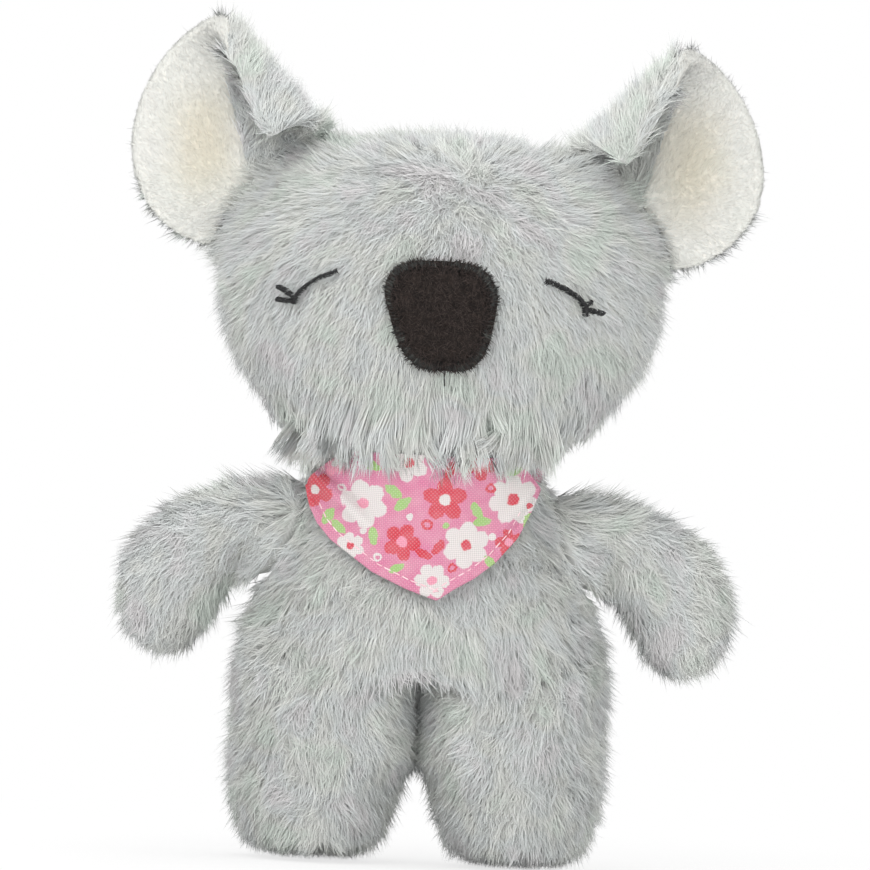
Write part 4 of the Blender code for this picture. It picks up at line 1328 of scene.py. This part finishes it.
def flap_edges(x):
    """Heights of the flap's upper and lower edge at a place across it."""
    return tuple(float(np.interp(x, *zip(*edge))) for edge in (FLAP_ABOVE, FLAP_BELOW))


def flap_lift(x, z):
    """How far the cloth stands off the chest: soft folds, a pleat at one corner, and a thicker hem."""
    top, bottom = flap_edges(x)
    lift = 0.0016
    lift += 0.00035 * math.sin(x * 260 + 0.8) * smoothstep((z - bottom) / 0.02)
    lift += 0.00030 * noise.noise(Vector((x, 0, z)) * 90.0)
    pleat = (x + 0.0245) * 0.62 + (z - 0.0885) * 0.78
    lift += 0.0015 * math.exp(-((pleat / 0.0016) ** 2)) * smoothstep((-0.010 - x) / 0.008)
    lift -= 0.0012 * math.exp(-(((pleat - 0.0022) / 0.0010) ** 2)) * smoothstep((-0.012 - x) / 0.006)
    tuck = (x - 0.0225) * 0.80 - (z - 0.0885) * 0.60
    lift += 0.0009 * math.exp(-((tuck / 0.0015) ** 2)) * smoothstep((x - 0.012) / 0.008)
    inside = (z - bottom) * 0.80
    lift += 0.00030 * smoothstep((0.0023 - inside) / 0.0004)
    return lift


def on_chest(form, x, z, lift):
    """A place on the chest, which goes straight on past the shoulders and up to the neck."""
    near_x, near_z = max(-0.0262, min(0.0262, x)), min(z, 0.0895)
    spot, normal = on_front(form, near_x, near_z)
    beyond = Vector((x - near_x, abs(x - near_x) * 0.9 - lift / max(0.6, -normal.y), z - near_z))
    return spot + beyond, normal


def make_flap(form):
    columns, rows_up = 84, 46
    bm = bmesh.new()
    bmesh.ops.create_grid(bm, x_segments=columns, y_segments=rows_up, size=1)
    cloth = bm.loops.layers.uv.new("cloth")
    flat = {}
    for vertex in bm.verts:
        across, up = vertex.co.x, (vertex.co.y + 1) / 2
        x = FLAP_LEFT + (FLAP_RIGHT - FLAP_LEFT) * (across + 1) / 2
        top, bottom = flap_edges(x)
        z = bottom + (top - bottom) * up
        vertex.co = on_chest(form, x, z, flap_lift(x, z))[0]
        flat[vertex] = (x, z)
    for face in bm.faces:
        for loop in face.loops:
            loop[cloth].uv = flat[loop.vert]
    bm.normal_update()
    if sum((f.normal.y for f in bm.faces)) > 0:
        bmesh.ops.reverse_faces(bm, faces=bm.faces)
    area = sum(f.calc_area() for f in bm.faces)
    flap = shown("neckerchief_cloth", bm)
    wall = flap.modifiers.new("cloth thickness", "SOLIDIFY")
    wall.thickness = 0.0005
    wall.offset = 1
    settle(flap)
    flap.data.shade_smooth()
    flap.data.materials.append(COTTON)
    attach(flap, "flap")
    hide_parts("neckerchief_flap")
    return flap, area


def make_hem(form):
    """The running stitch along the flap's hem."""
    rng = np.random.default_rng(61)
    line = []
    for i in range(400):
        x = FLAP_LEFT + 0.0012 + (FLAP_RIGHT - FLAP_LEFT - 0.0024) * i / 399
        _, bottom = flap_edges(x)
        ahead = flap_edges(x + 0.0002)[1] - bottom
        away = Vector((-ahead, 0.0002)).normalized() * 0.0023
        line.append((x + away.x, bottom + away.y))
    line = np.array(line)
    walked = np.concatenate(([0], np.cumsum(np.linalg.norm(np.diff(line, axis=0), axis=1))))
    paths, normals = [], []
    start = 0.0
    while start + 0.0019 < walked[-1]:
        stitch = []
        for s in np.linspace(0, 1, 6):
            at = start + 0.0019 * s
            x, z = (np.interp(at, walked, line[:, i]) for i in (0, 1))
            spot, normal = on_chest(form, x, z, flap_lift(x, z) + 0.0005 + 0.00016 * math.sin(math.pi * s) - 0.0001)
            stitch.append(tuple(spot))
        paths.append(stitch)
        normals.append(tuple(normal))
        start += 0.0023
    count = len(paths)
    pile = {
        "paths": np.array(paths),
        "normals": np.array(normals),
        "widths": np.full((count, 6), 0.00034) * np.array((0.6, 1, 1, 1, 1, 0.6)),
        "tones": rng.random((count, 2)),
        "rolls": rng.random(count),
    }
    return thread_piece("neckerchief_hem_stitches", pile, "flap", HEM_THREAD)


def make_band():
    """The cloth rolled round the neck, with creases along it."""
    form = node_tree_of("neckerchief_band")
    turns, around = 180, 16
    bm = bmesh.new()
    bmesh.ops.create_grid(bm, x_segments=turns, y_segments=around, size=1)
    cloth = bm.loops.layers.uv.new("cloth")
    flat = {}
    for vertex in bm.verts:
        angle = math.pi * (vertex.co.x + 1)
        roll = math.pi * (vertex.co.y + 1)
        sideways = math.cos(angle) ** 2
        height = 0.0936 + 0.0029 * sideways
        fallen = 0.0012 * max(0.0, -math.sin(angle)) ** 2
        out = Vector((math.cos(angle), math.sin(angle), 0))
        start = Vector((out.x * 0.1, out.y * 0.1, height))
        hit, _, _, _ = form.ray_cast(start, -out)
        crease = 0.00030 * math.sin(roll * 3 + 9 * math.sin(angle)) + 0.00020 * noise.noise(out * 6 + Vector((0, 0, roll)))
        radius = 0.0017 + crease
        hit.z -= fallen + 0.0026 * sideways
        spot = hit - out * (0.0026 + 0.0030 * sideways + 0.6 * fallen + 0.0010 * max(0.0, math.sin(angle)) + 0.0016 * max(0.0, out.x)) + out * math.cos(roll) * radius + Vector((0, 0, math.sin(roll) * (radius + 0.0006)))
        vertex.co = spot
        flat[vertex] = (angle * 0.034, roll * 0.0019)
    for face in bm.faces:
        for loop in face.loops:
            loop[cloth].uv = flat[loop.vert]
    bmesh.ops.remove_doubles(bm, verts=bm.verts, dist=0.00002)
    bmesh.ops.recalc_face_normals(bm, faces=bm.faces)
    band = shown("neckerchief_roll", bm)
    band.data.shade_smooth()
    band.data.materials.append(COTTON)
    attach(band, "torso")
    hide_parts("neckerchief_band")
    return band


# Stage


def lamp(name, place, target, size, power):
    data = bpy.data.lights.new(name, "AREA")
    data.shape = "DISK"
    data.size = size
    data.energy = power
    obj = bpy.data.objects.new(name, data)
    obj.location = place
    obj.rotation_euler = (Vector(target) - Vector(place)).to_track_quat("-Z", "Y").to_euler()
    bpy.context.scene.collection.objects.link(obj)
    return obj


def make_stage():
    bm = bmesh.new()
    bmesh.ops.create_grid(bm, x_segments=8, y_segments=8, size=3)
    bmesh.ops.translate(bm, verts=bm.verts, vec=(0, 0, -0.0002))
    floor = shown("floor", bm)
    floor.data.materials.append(floor_finish())
    middle = (0, 0, 0.1)
    lamp("key", (-0.45, -1.1, 0.75), middle, 0.9, 7.6)
    lamp("fill", (0.5, -1.2, 0.02), (0, 0, 0.06), 0.9, 6.4)
    lamp("top", (0.0, 0.05, 1.1), middle, 0.9, 2.6)
    lamp("back", (0.3, 1.1, 0.7), middle, 0.9, 3.0)
    world = bpy.data.worlds.new("studio")
    bpy.context.scene.world = world
    world.use_nodes = True
    tree = world.node_tree
    plain = tree.nodes["Background"]
    plain.inputs["Color"].default_value = (1, 1, 1, 1)
    plain.inputs["Strength"].default_value = 0.66
    seen = add(tree, "Background", Color=(1, 1, 1, 1), Strength=1.0)
    rays = add(tree, "LightPath")
    either = value(tree, "MAXIMUM", rays.outputs["Is Camera Ray"], value(tree, "MAXIMUM", rays.outputs["Is Glossy Ray"], rays.outputs["Is Transmission Ray"]))
    both = add(tree, "MixShader", Fac=either)
    tree.links.new(plain.outputs[0], both.inputs[1])
    tree.links.new(seen.outputs[0], both.inputs[2])
    tree.links.new(both.outputs[0], tree.nodes["World Output"].inputs["Surface"])
    bpy.context.scene.view_settings.view_transform = "Standard"


def make_camera():
    """Level, from far off, and rolled a little, as the toy leans in the picture."""
    far = 2.4
    data = bpy.data.cameras.new("camera")
    data.sensor_width = 36
    data.lens = 36 * far / 0.2077
    data.clip_end = 20
    camera = bpy.data.objects.new("camera", data)
    roll = math.radians(3)
    turned = Matrix((
        (math.cos(roll), -math.sin(roll), 0),
        (0, 0, -1),
        (math.sin(roll), math.cos(roll), 0),
    ))
    camera.matrix_world = Matrix.Translation((0.0004, -far, 0.1024)) @ turned.to_4x4()
    bpy.context.scene.collection.objects.link(camera)
    bpy.context.scene.camera = camera


# Making


GREY = {"length": 0.0053, "rise": 0.0040, "density": 0.21e6}


def main():
    make_camera()
    make_stage()
    pelts = make_pelts()

    head = pelts["head"]
    ears = [pelts["left_ear"]["form"], pelts["right_ear"]["form"]]
    locks = comb(head, head_flow_onto(ears), head_length_onto(ears), GREY["rise"], GREY["density"], seed=1, hang=head_hang)
    fringe = grow(head, locks, 10.0e6, 7, 0.00031, clump=0.1, shortest=0.86, stray=0.0007, wanted=under_chin, places=(0.0, 0.72, 1.0), profile=(1.0, 0.85, 0.0))
    fur_piece("chin_fringe", fringe, "head", GREY_PLUSH, shape=BLUNT_FIBRE)
    pile = press_under_face(grow(head, locks, 6.4e6, 2, 0.00028), head["form"])
    roots = pile["paths"][:, 0]
    front, high = roots[:, 1] < -0.002, roots[:, 2] > 0.142
    for name, chosen, soft in (
        ("brow_fur", front & high, 0.8),
        ("cheek_fur", front & ~high, 0.8),
        ("crown_fur", ~front & high, 0.6),
        ("nape_fur", ~front & ~high, 0.6),
    ):
        fur_piece(name, cut(pile, chosen), "head", GREY_PLUSH, soft=soft)

    body = pelts["body"]
    locks = comb(body, body_flow, body_length, GREY["rise"], GREY["density"], seed=3, hang=0.85, wanted=above_legs)
    pile = grow(body, locks, 6.4e6, 4, 0.00028, wanted=above_legs)
    front = pile["paths"][:, 0, 1] < 0
    fur_piece("chest_fur", cut(pile, front), "torso", GREY_PLUSH)
    fur_piece("back_fur", cut(pile, ~front), "torso", GREY_PLUSH)

    neck = pelts["neck"]
    locks = comb(neck, neck_flow, length=0.0050, rise=0.0025, density=0.20e6, seed=5)
    fur_piece("neck_fur", grow(neck, locks, 3.0e6, 6, 0.00030), "neck", GREY_PLUSH)

    for side, seed in (("left", 10), ("right", 20)):
        arm = pelts[f"{side}_arm"]
        locks = comb(arm, arm_flow, arm_length, arm_rise, GREY["density"], seed=seed, hang=0.5)
        fur_piece(f"{side}_arm_fur", grow(arm, locks, 6.4e6, seed + 1, 0.00028), f"{side}_arm", GREY_PLUSH)
        leg = pelts[f"{side}_leg"]
        locks = comb(leg, leg_flow, **GREY, seed=seed + 2, hang=0.8)
        fur_piece(f"{side}_leg_fur", grow(leg, locks, 6.0e6, seed + 3, 0.00028), f"{side}_leg", GREY_PLUSH)
        ear = pelts[f"{side}_ear"]
        cream = cream_test(f"{side}_ear")
        own = tree_of(ear["mesh"])

        def open_side(root, normal):
            return own.ray_cast(root + normal * 0.0012, normal, 0.0045)[0] is None

        def grey_side(root, normal):
            share, angle = rim_share(root.x, root.z)
            on_rim = share > 0.88 and -35 < angle < 88
            return not on_rim and not cream(root, normal) and open_side(root, normal)

        def cream_side(root, normal):
            return cream(root, normal) and open_side(root, normal)

        locks = comb(ear, ear_flow, ear_length, 0.0036, 0.26e6, seed + 4, hang=0.6, wanted=grey_side)
        pile = grow(ear, locks, 6.6e6, seed + 5, 0.00028, wanted=grey_side)
        fur_piece(f"{side}_ear_fur", lit_ear(pile), f"{side}_ear", GREY_PLUSH, soft=0.7)
        locks = comb(ear, ear_flow, 0.0014, 0.0006, 0.60e6, seed + 6, hang=0.9, wanted=cream_side)
        pile = grow(ear, locks, 13.0e6, seed + 7, 0.00032, clump=0.1, shortest=0.7, stray=0.0001, wanted=cream_side)
        fur_piece(f"{side}_ear_lining_pile", pile, f"{side}_ear", CREAM_PLUSH, soft=0.95)
        line_ear(ear["mesh"], cream)

    make_nose(head["form"])
    nose_fuzz(head["form"])
    for side in LIDS:
        make_eye(side, head["form"])

    flap, area = make_flap(body["form"])
    make_hem(body["form"])
    band = make_band()


main()
